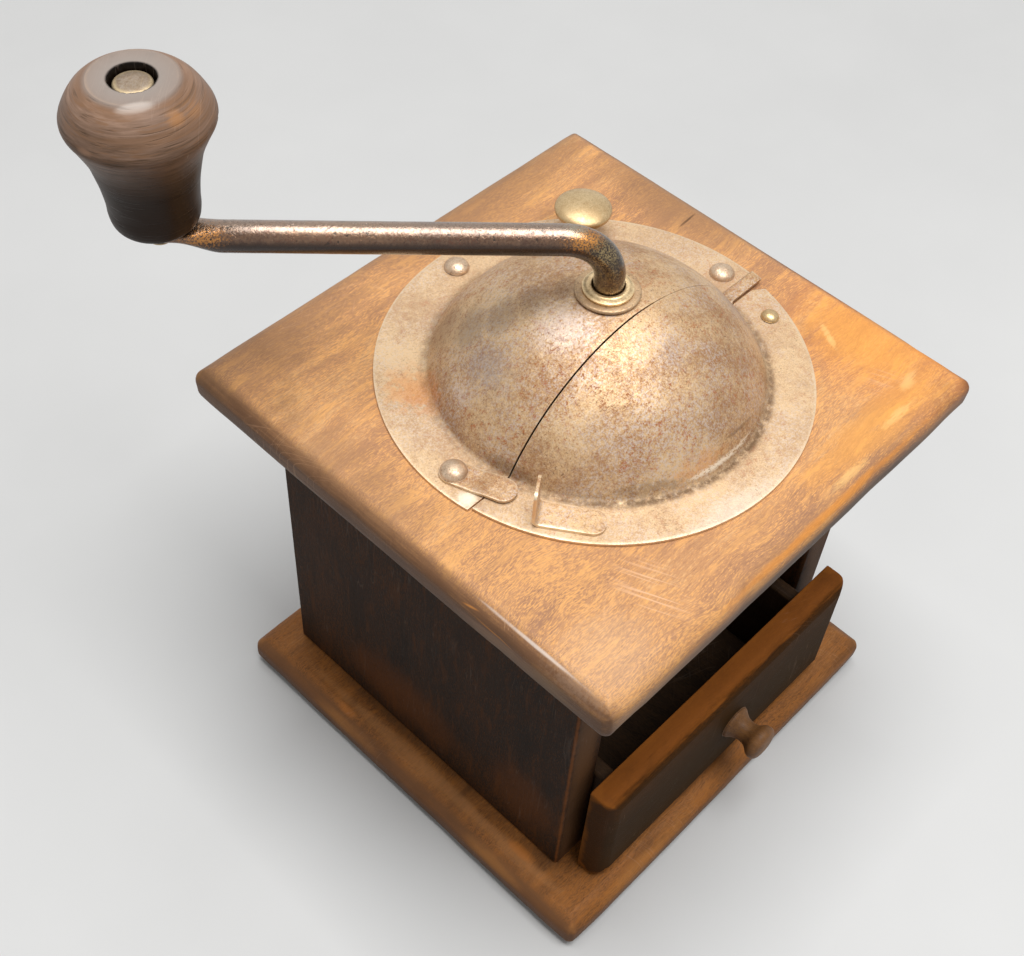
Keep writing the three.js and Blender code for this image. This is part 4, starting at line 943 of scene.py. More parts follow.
@dataclass(frozen=True)
class BoardShape:
    """A board with rounded edges, lying flat about the origin."""

    size: Triple
    top_round: float
    foot_round: float
    corner: float
    wear: float = 0.22
    hole: Optional[Triple] = None
    rebate: Optional[Pair] = None
    dents: tuple[Dent, ...] = ()
    # How far the board darkens towards its underside: painted shade.
    dirt_and_shade: float = 0.0

    def profile(self) -> list[Pair]:
        """Draws the board's edge in section, from the underside up, with a crisp upper arris.

        Returns:
            The inset and height of each ring.
        """
        foot, top, thick = self.foot_round, self.top_round, self.size[2]
        last = math.radians(68)
        rings = [(foot * (1 - math.sin(a)), foot * (1 - math.cos(a))) for a in np.linspace(0, math.pi / 2, 9)]
        for angle in np.linspace(0, last, 10):
            inset = top * (1 - math.cos(angle)) / (1 - math.cos(last))
            rings.append((inset, thick - top * (1 - math.sin(angle) / math.sin(last))))
        return rings + [(top + more, thick) for more in (0.5, 1.5, 3.5)]

    def worn(self, ring: np.ndarray, inset: float, most: float) -> np.ndarray:
        """Takes the wear and the dents off a ring.

        Args:
            ring: The ring's points.
            inset: How far inside the board's outline it lies.
            most: The inset of the rounding's last ring.

        Returns:
            The worn ring.
        """
        moved = ring.copy()
        half = np.array(self.size[:2]) / 2
        for point in moved:
            out = point[:2] / half
            lean = np.sign(out) * smooth_step(-0.05, 0.0, np.abs(out) - np.abs(out).max())
            near_corner = np.abs(out).min() ** 6
            place = Vector(point) * 0.045
            amount = self.wear * (0.5 + 0.5 * noise.noise(place))
            amount += self.wear * 0.5 * abs(noise.noise(place * 6))
            amount += self.wear * 2.0 * near_corner * max(0.0, noise.noise(place * 3) + 0.4)
            for dent in self.dents:
                gap = (Vector(point) - Vector(dent.at)).length
                amount += dent.depth * math.exp(-((gap / dent.reach) ** 2))
            share = 1 - min(1.0, inset / max(most, 1e-6))
            point[:2] -= lean * amount * (0.35 + 0.65 * share)
            up = 1.0 if point[2] > self.size[2] / 2 else -1.0
            point[2] -= up * amount * min(1.0, inset / max(most, 1e-6)) * (0.6 if inset < most else 0.0)
        return moved

    def build(self, name: str) -> Mesh:
        """Makes the board.

        Args:
            name: The mesh's name.

        Returns:
            The mesh, lying on the origin's plane.
        """
        half = (self.size[0] / 2, self.size[1] / 2)
        rings = []
        for inset, height in self.profile():
            flat = outline(half, inset, self.corner)
            ring = np.column_stack([flat, np.full(len(flat), height)])
            most = self.top_round if height > self.size[2] / 2 else self.foot_round
            rings.append(self.worn(ring, inset, most))
        if self.hole is None:
            points, faces = loft(rings, False)
            return self.marked(name, points, faces)
        x, y, radius = self.hole
        wide, deep = self.rebate
        top = self.size[2]
        angle = np.arctan2(rings[-1][:, 1] - y, rings[-1][:, 0] - x)
        for reach, height in ((wide, top), (wide, top - deep), (radius, top - deep), (radius, 0.0)):
            across = (x + reach * np.cos(angle), y + reach * np.sin(angle))
            rings.append(np.column_stack([*across, np.full(len(angle), height)]))
        points, faces = loft(rings, True)
        return self.marked(name, points, faces)

    def marked(self, name: str, points: np.ndarray, faces: Sequence[Sequence[int]]) -> Mesh:
        """Makes the mesh and marks its end grain, and the painted shade that darkens it towards the
        underside.

        Args:
            name: The mesh's name.
            points: Its points.
            faces: The points of each face.

        Returns:
            The mesh.
        """
        thick = self.size[2]
        # Darker towards the underside: painted shade under the rounded edges.
        grime = self.dirt_and_shade * smooth_step(thick - 1.5, 1.5, points[:, 2])
        reach = self.size[0] / 2
        end = smooth_step(reach - self.top_round * 0.9, reach - self.top_round * 0.4, np.abs(points[:, 0]))
        return smoothed(mesh_from(name, points, faces, grime=grime, end=end))


def break_edges(piece: Piece, width: float, angle: float) -> None:
    """Breaks a piece's sharp edges.

    Args:
        piece: The piece.
        width: The width of the broken edges.
        angle: Edges sharper than this are broken, in degrees.
    """
    cut = piece.modifiers.new("broken edges", "BEVEL")
    cut.width = width * MM
    cut.segments = 2
    cut.limit_method = "ANGLE"
    cut.angle_limit = math.radians(angle)


def copy_of(node: Piece, name: str, arris: float, angle: float = 35.0) -> Piece:
    """A finer copy of a frame node, its triangles merged and its sharp edges broken.

    Args:
        node: The frame's object.
        name: The new piece's name.
        arris: The width of the broken edges, or 0 for none.
        angle: Edges sharper than this are broken, in degrees.

    Returns:
        The new piece.
    """
    mesh = node.data.copy()
    mesh.name = name
    flat = math.radians(1.0)
    with opened(mesh) as body:
        bmesh.ops.remove_doubles(body, verts=body.verts, dist=2 * MERGED)
        bmesh.ops.dissolve_limit(body, angle_limit=flat, verts=body.verts, edges=body.edges)
    made = add_object(name, mesh)
    if arris:
        break_edges(made, arris, angle)
    smoothed(mesh, angle)
    return made


def sheet_of(mesh: Mesh, name: str, thickness: float, arris: float = 0.12) -> Piece:
    """Gives a bent surface the thickness of its sheet.

    Args:
        mesh: The sheet's outer surface.
        name: The piece's name.
        thickness: How thick the sheet is.
        arris: The width of its broken edges.

    Returns:
        The piece.
    """
    made = add_object(name, mesh)
    thick = made.modifiers.new("thickness", "SOLIDIFY")
    thick.thickness = thickness * MM
    thick.offset = -1
    thick.use_even_offset = True
    break_edges(made, arris, 50)
    return made


# Grown pieces


class Grown(Group):
    """A geometry node tree that grows a piece from a few points."""

    kind = "GeometryNodeTree"

    def __init__(self, name: str, **inputs: str):
        """Makes a tree that takes points and further inputs, each of its own kind, and gives a piece."""
        super().__init__(name, {"Geometry": "Geometry", **inputs}, {"Geometry": "Geometry"})

    def finish(self, geometry: Socket) -> None:
        """Ends the tree in real geometry with its material.

        Args:
            geometry: What the tree has grown.
        """
        real = self.graph.add("GeometryNodeRealizeInstances", {"Geometry": geometry})
        dressed = self.graph.add(
            "GeometryNodeSetMaterial", {"Geometry": real.outputs[0], "Material": self.inputs["Material"]}
        )
        self.give("Geometry", dressed.outputs[0])

    def grow(self, name: str, seed: Mesh, **values: Any) -> Piece:
        """Runs the tree over a seed and keeps the result as a plain mesh.

        Args:
            name: The piece's name.
            seed: The points that it grows from.
            values: The tree's inputs, by label.

        Returns:
            The piece.
        """
        carrier = add_object(name + "_seed", seed)
        modifier = carrier.modifiers.new("grow", "NODES")
        modifier.node_group = self.tree
        for item in self.tree.interface.items_tree:
            if item.item_type == "SOCKET" and item.in_out == "INPUT" and item.name in values:
                modifier[item.identifier] = values[item.name]
        bpy.context.view_layer.update()
        graph = bpy.context.evaluated_depsgraph_get()
        mesh = bpy.data.meshes.new_from_object(carrier.evaluated_get(graph))
        mesh.name = name
        carrier.modifiers.clear()
        bpy.data.objects.remove(carrier)
        return add_object(name, smoothed(mesh))


def seed_mesh(
    name: str, points: Sequence[Vector], joined: bool, **attributes: Sequence[float]
) -> Mesh:
    """Makes the few points that a piece grows from.

    Args:
        name: The mesh's name.
        points: The points, in metres.
        joined: True joins them in a row.
        attributes: Numbers that each point carries, by name.

    Returns:
        The mesh.
    """
    mesh = bpy.data.meshes.new(name)
    edges = [(i, i + 1) for i in range(len(points) - 1)] if joined else []
    mesh.from_pydata([tuple(p) for p in points], edges, [])
    for label, values in attributes.items():
        mesh.attributes.new(label, "FLOAT", "POINT").data.foreach_set("value", [float(v) for v in values])
    return mesh


def named_number(graph: Graph, name: str) -> Socket:
    """A number that each point carries."""
    node = graph.add("GeometryNodeInputNamedAttribute", {"Name": name}, data_type="FLOAT")
    return node.outputs["Attribute"]


def domed_heads() -> Grown:
    """Hammered nail heads on their shanks, one at each point.

    Returns:
        The tree.
    """
    tree = Grown("domed_heads", Shank="Float", Hammered="Float", Seed="Int", Material="Material")
    graph, given = tree.graph, tree.inputs
    ball = graph.add("GeometryNodeMeshUVSphere", {"Segments": 40, "Rings": 24, "Radius": 1.0})
    place = graph.add("GeometryNodeInputPosition").outputs[0]
    parts = graph.add("ShaderNodeSeparateXYZ", {0: place}).outputs
    lifted = graph.most(parts[2], 0.0)
    raised = graph.add("ShaderNodeCombineXYZ", {0: parts[0], 1: parts[1], 2: lifted})
    dome = graph.add(
        "GeometryNodeSetPosition", {"Geometry": ball.outputs["Mesh"], "Position": raised.outputs[0]}
    )
    points = graph.add("GeometryNodeMeshToPoints", {"Mesh": given["Geometry"]})
    wide, tall = named_number(graph, "wide"), named_number(graph, "tall")
    scale = graph.add("ShaderNodeCombineXYZ", {0: wide, 1: wide, 2: tall})
    turn = graph.add(
        "FunctionNodeRandomValue",
        {"Min": (-0.03, -0.03, 0.0), "Max": (0.03, 0.03, 6.28), "Seed": given["Seed"]},
        data_type="FLOAT_VECTOR",
    )
    heads = graph.add(
        "GeometryNodeInstanceOnPoints",
        {
            "Points": points.outputs[0], "Instance": dome.outputs[0], "Scale": scale.outputs[0],
            "Rotation": turn.outputs[0],
        },
    )
    real = graph.add("GeometryNodeRealizeInstances", {"Geometry": heads.outputs[0]})
    normal = graph.add("GeometryNodeInputNormal").outputs[0]
    rough = graph.noise(place, 520.0, detail=2)
    amount = graph.times(graph.minus(rough, 1.0), graph.times(given["Hammered"], MM * 3))
    push = graph.add("ShaderNodeVectorMath", {0: normal, "Scale": amount}, operation="SCALE")
    beaten = graph.add("GeometryNodeSetPosition", {"Geometry": real.outputs[0], "Offset": push.outputs[0]})
    rod = graph.add(
        "GeometryNodeMeshCylinder", {"Vertices": 20, "Radius": 0.3, "Depth": 1.0}, fill_type="NGON"
    )
    low = graph.add(
        "GeometryNodeTransform", {"Geometry": rod.outputs["Mesh"], "Translation": (0.0, 0.0, -0.49)}
    )
    long = graph.add("ShaderNodeCombineXYZ", {0: wide, 1: wide, 2: given["Shank"]})
    shanks = graph.add(
        "GeometryNodeInstanceOnPoints",
        {"Points": points.outputs[0], "Instance": low.outputs[0], "Scale": long.outputs[0]},
    )
    joined = graph.add("GeometryNodeJoinGeometry")
    graph.feed(joined, 0, beaten.outputs[0])
    graph.feed(joined, 0, shanks.outputs[0])
    tree.finish(joined.outputs[0])
    return tree


def bent_rod() -> Grown:
    """A round rod along a line, flattened and widened where its points say so.

    Returns:
        The tree.
    """
    tree = Grown("bent_rod", Radius="Float", Top="Float", Pitting="Float", Material="Material")
    graph, given = tree.graph, tree.inputs
    line = graph.add("GeometryNodeMeshToCurve", {"Mesh": given["Geometry"]})
    ring = graph.add("GeometryNodeCurvePrimitiveCircle", {"Resolution": 48, "Radius": given["Radius"]})
    rod = graph.add(
        "GeometryNodeCurveToMesh",
        {"Curve": line.outputs[0], "Profile Curve": ring.outputs[0], "Fill Caps": True},
    )
    place = graph.add("GeometryNodeInputPosition").outputs[0]
    parts = graph.add("ShaderNodeSeparateXYZ", {0: place}).outputs
    wide = graph.times(parts[1], named_number(graph, "wide"))
    below = graph.minus(given["Top"], parts[2])
    deep = graph.minus(given["Top"], graph.times(below, named_number(graph, "flat")))
    formed = graph.add("ShaderNodeCombineXYZ", {0: parts[0], 1: wide, 2: deep})
    shaped = graph.add("GeometryNodeSetPosition", {"Geometry": rod.outputs[0], "Position": formed.outputs[0]})
    rough = graph.noise(place, 330.0, detail=3)
    amount = graph.times(graph.minus(rough, 0.9), graph.times(given["Pitting"], MM))
    normal = graph.add("GeometryNodeInputNormal").outputs[0]
    push = graph.add("ShaderNodeVectorMath", {0: normal, "Scale": amount}, operation="SCALE")
    pitted = graph.add("GeometryNodeSetPosition", {"Geometry": shaped.outputs[0], "Offset": push.outputs[0]})
    tree.finish(pitted.outputs[0])
    return tree


# Sub-assemblies


def box_of(nodes: Iterable[str]) -> tuple[Vector, Vector]:
    """Finds the lowest and the highest corner of the box round several nodes, in metres."""
    corners = [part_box(node) for node in nodes]
    return Vector(np.min([c[0] for c in corners], axis=0)), Vector(np.max([c[1] for c in corners], axis=0))


@dataclass(frozen=True)
class Assembly:
    """A group of pieces that are built and dressed together. Its sizes are fields, in millimetres."""

    nodes: dict[str, Piece]
    effects: Effects

    def keep(self, piece: Piece, finish: Optional[Finish], body: str, slot: str, *nodes: str) -> None:
        """Gives a piece its finish, its body and the nodes that it stands for.

        Args:
            piece: The piece.
            finish: Its finish, or None where it has its material.
            body: The body that carries it.
            slot: Its material slot; not used.
            nodes: The nodes that it stands for.
        """
        if finish is not None:
            piece.data.materials.clear()
            piece.data.materials.append(finish.material(self.effects, *box_of(nodes)))
        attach(piece, body)
        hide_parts(*nodes)
        LOG.info("%s stands for %s, %d faces", piece.name, ", ".join(nodes), len(piece.data.polygons))

    def refine(self, node: str, finish: Finish, body: str, slot: str, arris: float) -> None:
        """Dresses a finer copy of a node whose shape is right, its edges broken by an arris."""
        self.keep(copy_of(self.nodes[node], node + "_dressed", arris), finish, body, slot, node)


def shifted(mesh: Mesh, place: Vector, turn: float = 0.0) -> Mesh:
    """Turns a mesh about Z by an angle in degrees, moves it and gives it back."""
    mesh.transform(Matrix.Translation(place) @ Matrix.Rotation(math.radians(turn), 4, "Z"))
    return mesh


TOP_LAYERS = (
    # Painted warm light over the right of the top, soft-light blended.
    patch("ffa94a", 0.3, 0.4, (60, 300, 300), Mark((72, -50, 138), (52, 64, 40)), blend="SOFT_LIGHT"),
    patch(
        "f0a64a", 0.5, 1.2, (90, 600, 600), Mark((40, -64, 138), (54, 12, 12)),
        Mark((64, -44, 138), (24, 36, 12)),
    ),
    # Painted shade: darker towards the back and the far ends, where the light falls off.
    patch(
        "96704f", 0.65, 0.8, (60, 300, 300), Mark((-50, 74, 138), (70, 34, 10)),
        Mark((-68, 20, 138), (18, 70, 10), 0.7), Mark((30, 80, 138), (90, 40, 10), 1.3),
        Mark((74, 30, 138), (30, 50, 10), 1.2),
    ),
    patch("dcc0a6", 0.2, 1.0, (240, 1200, 1200), Mark((-62, -62, 138), (26, 22, 10))),
    # Painted highlight low on the left rounded edge.
    patch("c79f7d", 0.5, 0.9, (900, 40, 900), Mark((-73, -42, 131), (4, 40, 6))),
    patch("b08c64", 0.5, 1.2, (900, 60, 900), Mark((-75, -56, 132), (3, 16, 6))),
    # Painted highlight along the left edge's arris.
    patch("f0e2d6", 0.7, 0.5, (900, 90, 900), Mark((-71.6, -48, 138.4), (1.0, 34, 1.5), 1.3)),
    patch(
        "d08a46", 0.9, 0.2, 300, Mark((-74, -38, 134.2), (2, 11, 0.5), 1, (5, 0, 0)),
        Mark((-73, -29, 136), (2, 5, 0.5), 1, (-9, 0, 0)),
    ),
    patch(
        "e8953a", 0.65, 0.9, (120, 500, 500), Mark((10, -72.2, 136.8), (84, 2.6, 2.2)),
        Mark((72, -60, 137), (4, 18, 4)),
    ),
    # Painted shade under the front edge.
    patch("2a1a10", 1.0, 0.4, (60, 300, 300), Mark((10, -75, 130.5), (130, 6, 8))),
    # Painted shade round the underside of the edges.
    patch("3a2415", 0.6, 0.3, (60, 300, 300), Mark((0, 0, 126), (500, 500, 7))),
    patch(
        "ffcf86", 0.5, 1.5, (260, 1100, 1100), Mark((60, -61, 138), (8, 3, 3), 1, (0, 0, 10)),
        Mark((48, -66, 138), (12, 2.4, 3)), Mark((22, -69, 138), (14, 2, 3)),
        Mark((58, -36, 138.5), (2, 9, 3), 1, (0, 0, -30)),
    ),
    patch(
        "24160c", 0.7, 0.2, 300, Mark((66, 20.7, 138), (8, 0.7, 4), 1, (0, 0, 4)),
        Mark((-23, -71, 135), (4, 1.5, 4), 1, (0, 0, 20)),
    ),
)
TOP_SCRATCHES = (
    Mark((-41, -57, 138.6), (10, 14, 4), 0.9), Mark((55, -56, 138.6), (9, 6, 4), 0.3),
)
TOP_WOOD = Wood(
    "top_wood", light="e3b27c", mid="c38f63", dark="a2775a", fleck="eeb06a", bare="e09a4c", dirt_and_shade="4a2e18",
    end="75533a", wear_width=4.0, wear_amount=0.45, grime=0.25, roughness=0.45, specular=0.2, coat=0.04,
    layers=TOP_LAYERS, hairlines=0.2, scratches=TOP_SCRATCHES,
)
BASE_LAYERS = (
    # Painted highlight along the left edge of the base's top face.
    patch("d39660", 0.45, 0.8, (60, 30, 60), Mark((-65, -15, 12), (4.5, 100, 3))),
    patch("d8843a", 0.5, 0.8, 60, Mark((-68, 27, 12), (3.5, 9, 3)), Mark((-63.5, -45, 12), (3, 9, 3))),
    patch(
        "c98848", 0.5, 0.7, (100, 60, 200), Mark((-73, -40, 10), (6, 30, 6)),
        Mark((-73, 24, 10), (6, 26, 6)), Mark((-40, -74, 10), (40, 6, 6)),
    ),
    # Painted shade on the base's top face along the foot of the left wall.
    patch(
        "3a2718", 0.45, 0.3, (100, 60, 200), Mark((-59, -52, 12), (9, 9, 3)),
        Mark((-59.5, 10, 12), (4.5, 60, 2)),
    ),
)
BASE_WOOD = Wood(
    "base_wood", light="ae7642", mid="925e30", dark="664020", fleck="ad6c30", bare="cf8f50", dirt_and_shade="2b1b10",
    end="7a5233", wear_width=5.0, wear_amount=0.6, roughness=0.5, specular=0.2, coat=0.0,
    shift=(0.4, 0.1, 0.2), layers=BASE_LAYERS,
)
CASE_LAYERS = (
    patch(
        "6a3c19", 0.5, 0.6, (30, 60, 60), Mark((-59, -40, 34), (9, 24, 30)),
        Mark((-59, 10, 30), (9, 44, 26)),
    ),
    patch(
        "6a4a30", 0.85, 0.4, (400, 400, 40), Mark((-54, -55.5, 70), (9, 2.5, 260)),
        Mark((54, -55.5, 70), (9, 2.5, 260)),
    ),
    patch("94582c", 0.8, 0.5, (400, 400, 40), Mark((-59.2, -55.2, 70), (1.1, 1.1, 260))),
)
CASE_WOOD = Wood(
    "case_wood", light="41291a", mid="2e1f15", dark="1a130e", fleck="533015", bare="744724", grain=Grain.Z,
    wear_width=2.2, wear_amount=0.4, grime=0.5, roughness=0.6, specular=0.1, coat=0.0, layers=CASE_LAYERS,
)
DRAWER_LAYERS = (
    # Painted shade over the drawer's front face.
    patch("33230f", 0.75, 0.3, (40, 200, 200), Mark((0, -70, 30), (300, 6, 60), 1.5)),
    # Painted light over the top face of the drawer front.
    patch("a35f28", 0.65, 0.9, (60, 400, 400), Mark((0, -66, 59), (300, 300, 4))),
    patch("c9782e", 0.7, 0.9, (60, 400, 400), Mark((0, -67.6, 57.6), (300, 1.6, 1.6))),
)
DRAWER_WOOD = Wood(
    "drawer_front_wood", light="6b3f17", mid="523010", dark="301d0d", fleck="744212", bare="b06a28",
    end="402816", wear_width=4.0, wear_amount=0.5, roughness=0.62, specular=0.05, coat=0.0,
    shift=(0.2, 0.5, 0.7), layers=DRAWER_LAYERS,
)
DRAWER_BOX_WOOD = Wood(
    "drawer_box_wood", light="523a26", mid="3f2c1c", dark="261a10", fleck="4a321b", bare="7d5c3b",
    grain=Grain.Y, wear_width=1.6, wear_amount=0.5, roughness=0.65, specular=0.2, coat=0.0,
)
PULL_WOOD = Wood(
    "pull_wood", light="966b41", mid="7a5433", dark="48301d", fleck="84572a", bare="c79d6c", grain=Grain.Y,
    wear_width=0.1, wear_amount=0.8, roughness=0.5, specular=0.25, coat=0.05,
)
HANDLE_LAYERS = (
    # Painted shade: darker towards the handle's foot, below the bulb.
    patch("26170b", 0.95, 0.3, (90, 90, 500), Mark((-75.4, 74.1, 190), (70, 70, 40), 1.4)),
    patch("958a82", 0.9, 0.4, (300, 1500, 900), Mark((-75.4, 74.1, 229.6), (24, 24, 2.6), 1.4)),
    # Painted highlight along the front of the top rim.
    patch("e6dad0", 0.42, 0.8, (900, 500, 900), Mark((-81.2, 65.8, 228.5), (8, 2.6, 2), 1, (0, 0, -27))),
    patch(
        "c98a4a", 0.4, 1.8, (300, 300, 1500), Mark((-75, 59.8, 226.5), (4, 3, 4)),
        Mark((-70, 61, 224), (6, 4, 6), 0.6),
    ),
    patch(
        "c7b6a2", 1.0, 0.4, 900, Mark((-75.4, 56.7, 216.5), (0.35, 1.6, 3.2)),
        Mark((-75, 61.1, 204.8), (0.35, 1.6, 2.6), 1, (0, 14, 0)),
    ),
    patch("b08a70", 0.9, 2.2, (1800, 1800, 300), Mark((-92.4, 70, 220), (1.4, 3.4, 1.6))),
    # Painted shade inside the hole round the pin.
    patch("0e0805", 1.0, 0.0, 300, Mark((-75.4, 74.1, 222), (6.6, 6.6, 40), 10)),
)
HANDLE_WOOD = Wood(
    "handle_wood", light="a28470", mid="836856", dark="55402f", fleck="86644a", bare="b99e88",
    dirt_and_shade="1c120c", grain=Grain.TURNED, wear_width=0.1, wear_amount=0.6, roughness=0.4, specular=0.14,
    coat=0.03, layers=HANDLE_LAYERS,
)
DOME_LAYERS = (
    patch("dcc2a0", 0.4, 0.6, 900, Mark((2.4, -0.8, 138.8), (400, 400, 2.4))),
    # Painted shadow of the crank rod on the hood.
    patch(
        "6f5a4c", 0.4, 0.5, 500, Mark((-21, 32, 146), (13, 15, 13)), Mark((-22, 23, 154), (13, 13, 11)),
        Mark((-17, 16, 160), (12, 11, 10)), Mark((-11, 12, 164), (11, 9, 7)),
        Mark((-4, 8, 167), (10, 7, 6)),
    ),
    # Painted highlight on the hood's crown, and grey-white bloom low on its left.
    patch(
        "f1ecec", 0.3, 2.4, 1100, Mark((-13, 0, 164), (15, 16, 8)),
        Mark((-34.5, 12.5, 147), (6, 8, 5), 0.8),
    ),
    patch(
        "e08c34", 0.42, 1.7, 420, Mark((-38, 26, 139.4), (13, 17, 9), 1, (0, 0, 20)),
        Mark((-33, 26, 140.2), (4.5, 11, 5), 0.8, (0, 0, 30)), Mark((-8, -43, 143), (20, 7, 7), 0.7),
        Mark((-22, -16, 150), (10, 8, 14), 0.6),
    ),
    patch(
        "5a3d22", 0.5, 1.2, 700, Mark((-40, -9, 141.5), (4, 14, 3.5), 1, (0, 0, 10)),
        Mark((-20, -38, 142), (20, 3, 3.5), 0.8, (0, 0, -32)),
        Mark((9, -42.3, 144.6), (13, 3, 0.9), 0.9, (0, 8, 10)),
    ),
    patch(
        "857e86", 0.35, 1.3, 700, Mark((40, -16, 150), (15, 15, 15)), Mark((-27, 8, 152), (12, 18, 13)),
        Mark((2, -22, 160), (12, 9, 10), 0.7),
    ),
    patch("f3ead6", 0.8, 0.8, 300, Mark((-53.5, -8, 139.4), (5, 4, 3))),
    # Painted highlight along the front of the flange.
    patch("e9e2d6", 0.4, 1.0, 700, Mark((-14, -58, 139.4), (40, 12, 3))),
    # Painted glints along the front of the hood's foot.
    patch("fff4e0", 0.8, 2.6, (1300, 1300, 2600), Mark((-4, -44.6, 141.4), (30, 3, 1.4))),
)
DOME_METAL = Metal(
    "dome_metal", clean="dab98d", tarnish="956a43", rust="b4602a", bloom="cbc4c2", bright="ecd9ba",
    metallic=0.7, roughness=0.55, tarnish_amount=0.85, rust_amount=0.68, bloom_amount=0.5, dirt_and_shade="5e4228",
    wear_amount=0.5, layers=DOME_LAYERS,
)
ROD_LAYERS = (
    # Painted highlight along the top of the arm.
    patch("d8c6b4", 0.3, 1.6, 1500, Mark((-38, 38, 189), (400, 400, 3))),
    patch("a39e8a", 0.6, 2.2, 2000, Mark((-4, 4, 188.4), (9, 9, 2.6))),
    # Painted shade: darker towards the bottom of the arm and down the spindle.
    patch("2a1b13", 0.85, 0.5, 900, Mark((-38, 38, 180), (400, 400, 8), 2.5)),
    patch(
        "e0963e", 1.0, 3.0, 2200, Mark((-4.5, 2.5, 186), (9, 8, 3.5), 0.75),
        Mark((-70, 64, 186.6), (9, 9, 4), 0.6),
    ),
    patch(
        "cdb27a", 1.0, 3.5, 2600, Mark((0, -1.5, 173), (9, 9, 12), 0.55),
        Mark((-1, -1.5, 182), (8, 8, 8), 0.5),
    ),
    patch("241811", 0.7, 1.0, 700, Mark((2, -1, 173), (9, 9, 10))),
)
ROD_METAL = Metal(
    "rod_metal", clean="84634a", tarnish="43291d", rust="8a4d26", bloom="806a58", bright="cfc0b2",
    dirt_and_shade="21160f", metallic=0.8, roughness=0.25, tarnish_amount=0.9, rust_amount=0.4, bloom_amount=0.25,
    pit_amount=0.9, coat=0.7, scratches=0.0, layers=ROD_LAYERS, bump=0.6, scale=0.75,
)
NAIL_METAL = Metal(
    "nail_metal", clean="dcc3a6", tarnish="a5866a", rust="9a6844", bloom="b3aaa2", bright="f2e4cf",
    metallic=0.7, roughness=0.4, rust_amount=0.35, bloom_amount=0.3,
)
IRON_METAL = Metal(
    "iron_metal", clean="6a6462", tarnish="4c4340", rust="6d452c", bloom="77736f", bright="9a948e",
    metallic=0.7, roughness=0.55, rust_amount=0.45, bloom_amount=0.3, bump=0.6,
)
BRASS_METAL = Metal(
    "brass_metal", clean="dcc296", tarnish="a5855a", rust="7d6136", bloom="b79d76", bright="f3dcae",
    dirt_and_shade="4a371d", metallic=0.85, roughness=0.38, tarnish_amount=0.7, rust_amount=0.25, bloom_amount=0.3,
    pit_amount=0.2, bump=0.12,
)


@dataclass(frozen=True)
class WoodenCase(Assembly):
    """The two bullnosed boards and the four walls between them."""

    edge_round: float = 4.8
    corner: float = 2.5
    wear: float = 0.2
    # How far the boards darken towards their undersides: painted shade.
    dirt_and_shade: float = 0.75
    hopper_hole: float = 43.0
    rebate: Pair = (47.3, 1.0)
    wall_arris: float = 0.35
    screw_arris: float = 0.12
    top_dents: tuple[Dent, ...] = (
        Dent((-23, -73, 134), 3.2, 0.5), Dent((64, -72, 134), 4.5, 0.5), Dent((74, -55, 134), 3.5, 0.4),
        Dent((-74, -40, 134), 5, 0.4), Dent((-74, 12, 135), 4, 0.35), Dent((30, -73, 134), 6, 0.35),
        Dent((-74, -73, 135), 5, 0.5),
    )
    base_dents: tuple[Dent, ...] = (
        Dent((-72, -73, 8), 5, 0.7), Dent((-72, -20, 9), 6, 0.4), Dent((10, -73, 9), 5, 0.35),
    )

    def build(self) -> None:
        """Builds and dresses every board of the case."""
        self.board("base_board", BASE_WOOD, "base_wood", self.base_dents, False)
        self.board("top_board", TOP_WOOD, "top_wood", self.top_dents, True)
        for i, node in enumerate(("side_wall_left", "side_wall_right", "back_wall", "front_panel")):
            grain = Grain.X if node == "front_panel" else Grain.Z
            finish = replace(CASE_WOOD, name="case_wood_" + node, shift=(0.3 * i, 0.2, 0.1 * i), grain=grain)
            self.refine(node, finish, "case", "case_wood", self.wall_arris)
        for end in ("front_left", "back_left", "front_right", "back_right"):
            finish = replace(IRON_METAL, name="screw_" + end)
            self.refine("case_screw_" + end, finish, "case", "iron", self.screw_arris)

    def board(self, node: str, finish: Wood, slot: str, dents: Sequence[Dent], open_top: bool) -> None:
        """Builds one bullnosed board over its node.

        Args:
            node: The board's node.
            finish: Its wood.
            slot: Its material slot, passed on to keep, which does not use it.
            dents: The knocks on its edges, in the mill's frame.
            open_top: True cuts the hole for the hopper, with the rebate round it.
        """
        low, high = box_in_mm(node)
        size, middle = high - low, (low + high) / 2
        foot = Vector((middle.x, middle.y, low.z))
        hole = None
        if open_top:
            x, y, _ = MILL_PLACE / MM
            hole = (x - middle.x, y - middle.y, self.hopper_hole)
        local = tuple(replace(dent, at=tuple(Vector(dent.at) - foot)) for dent in dents)
        rounds = (self.edge_round, self.edge_round, self.corner, self.wear)
        shape = BoardShape(tuple(size), *rounds, hole, self.rebate, local, self.dirt_and_shade)
        mesh = shape.build(node + "_dressed")
        mesh.transform(Matrix.Translation(foot * MM))
        self.keep(add_object(node + "_dressed", mesh), finish, "case", slot, node)


@dataclass(frozen=True)
class Clip:
    """The clip under the left nail."""

    tail: float = 3.8
    length: float = 17.0
    half: float = 3.7
    rise: float = 0.45
    angle: float = 179.3
    turn: float = -70.3


@dataclass(frozen=True)
class Tab:
    """The finger tab on the lid."""

    height: float = 11.4
    length: float = 18.0
    half: float = 3.85
    bend: float = 1.3
    tip_round: float = 1.4
    end_round: float = 3.6
    bite: float = 0.9
    bite_at: float = 12.2
    radius: float = 52.4
    angle: float = 204.6
    turn: float = -55.5


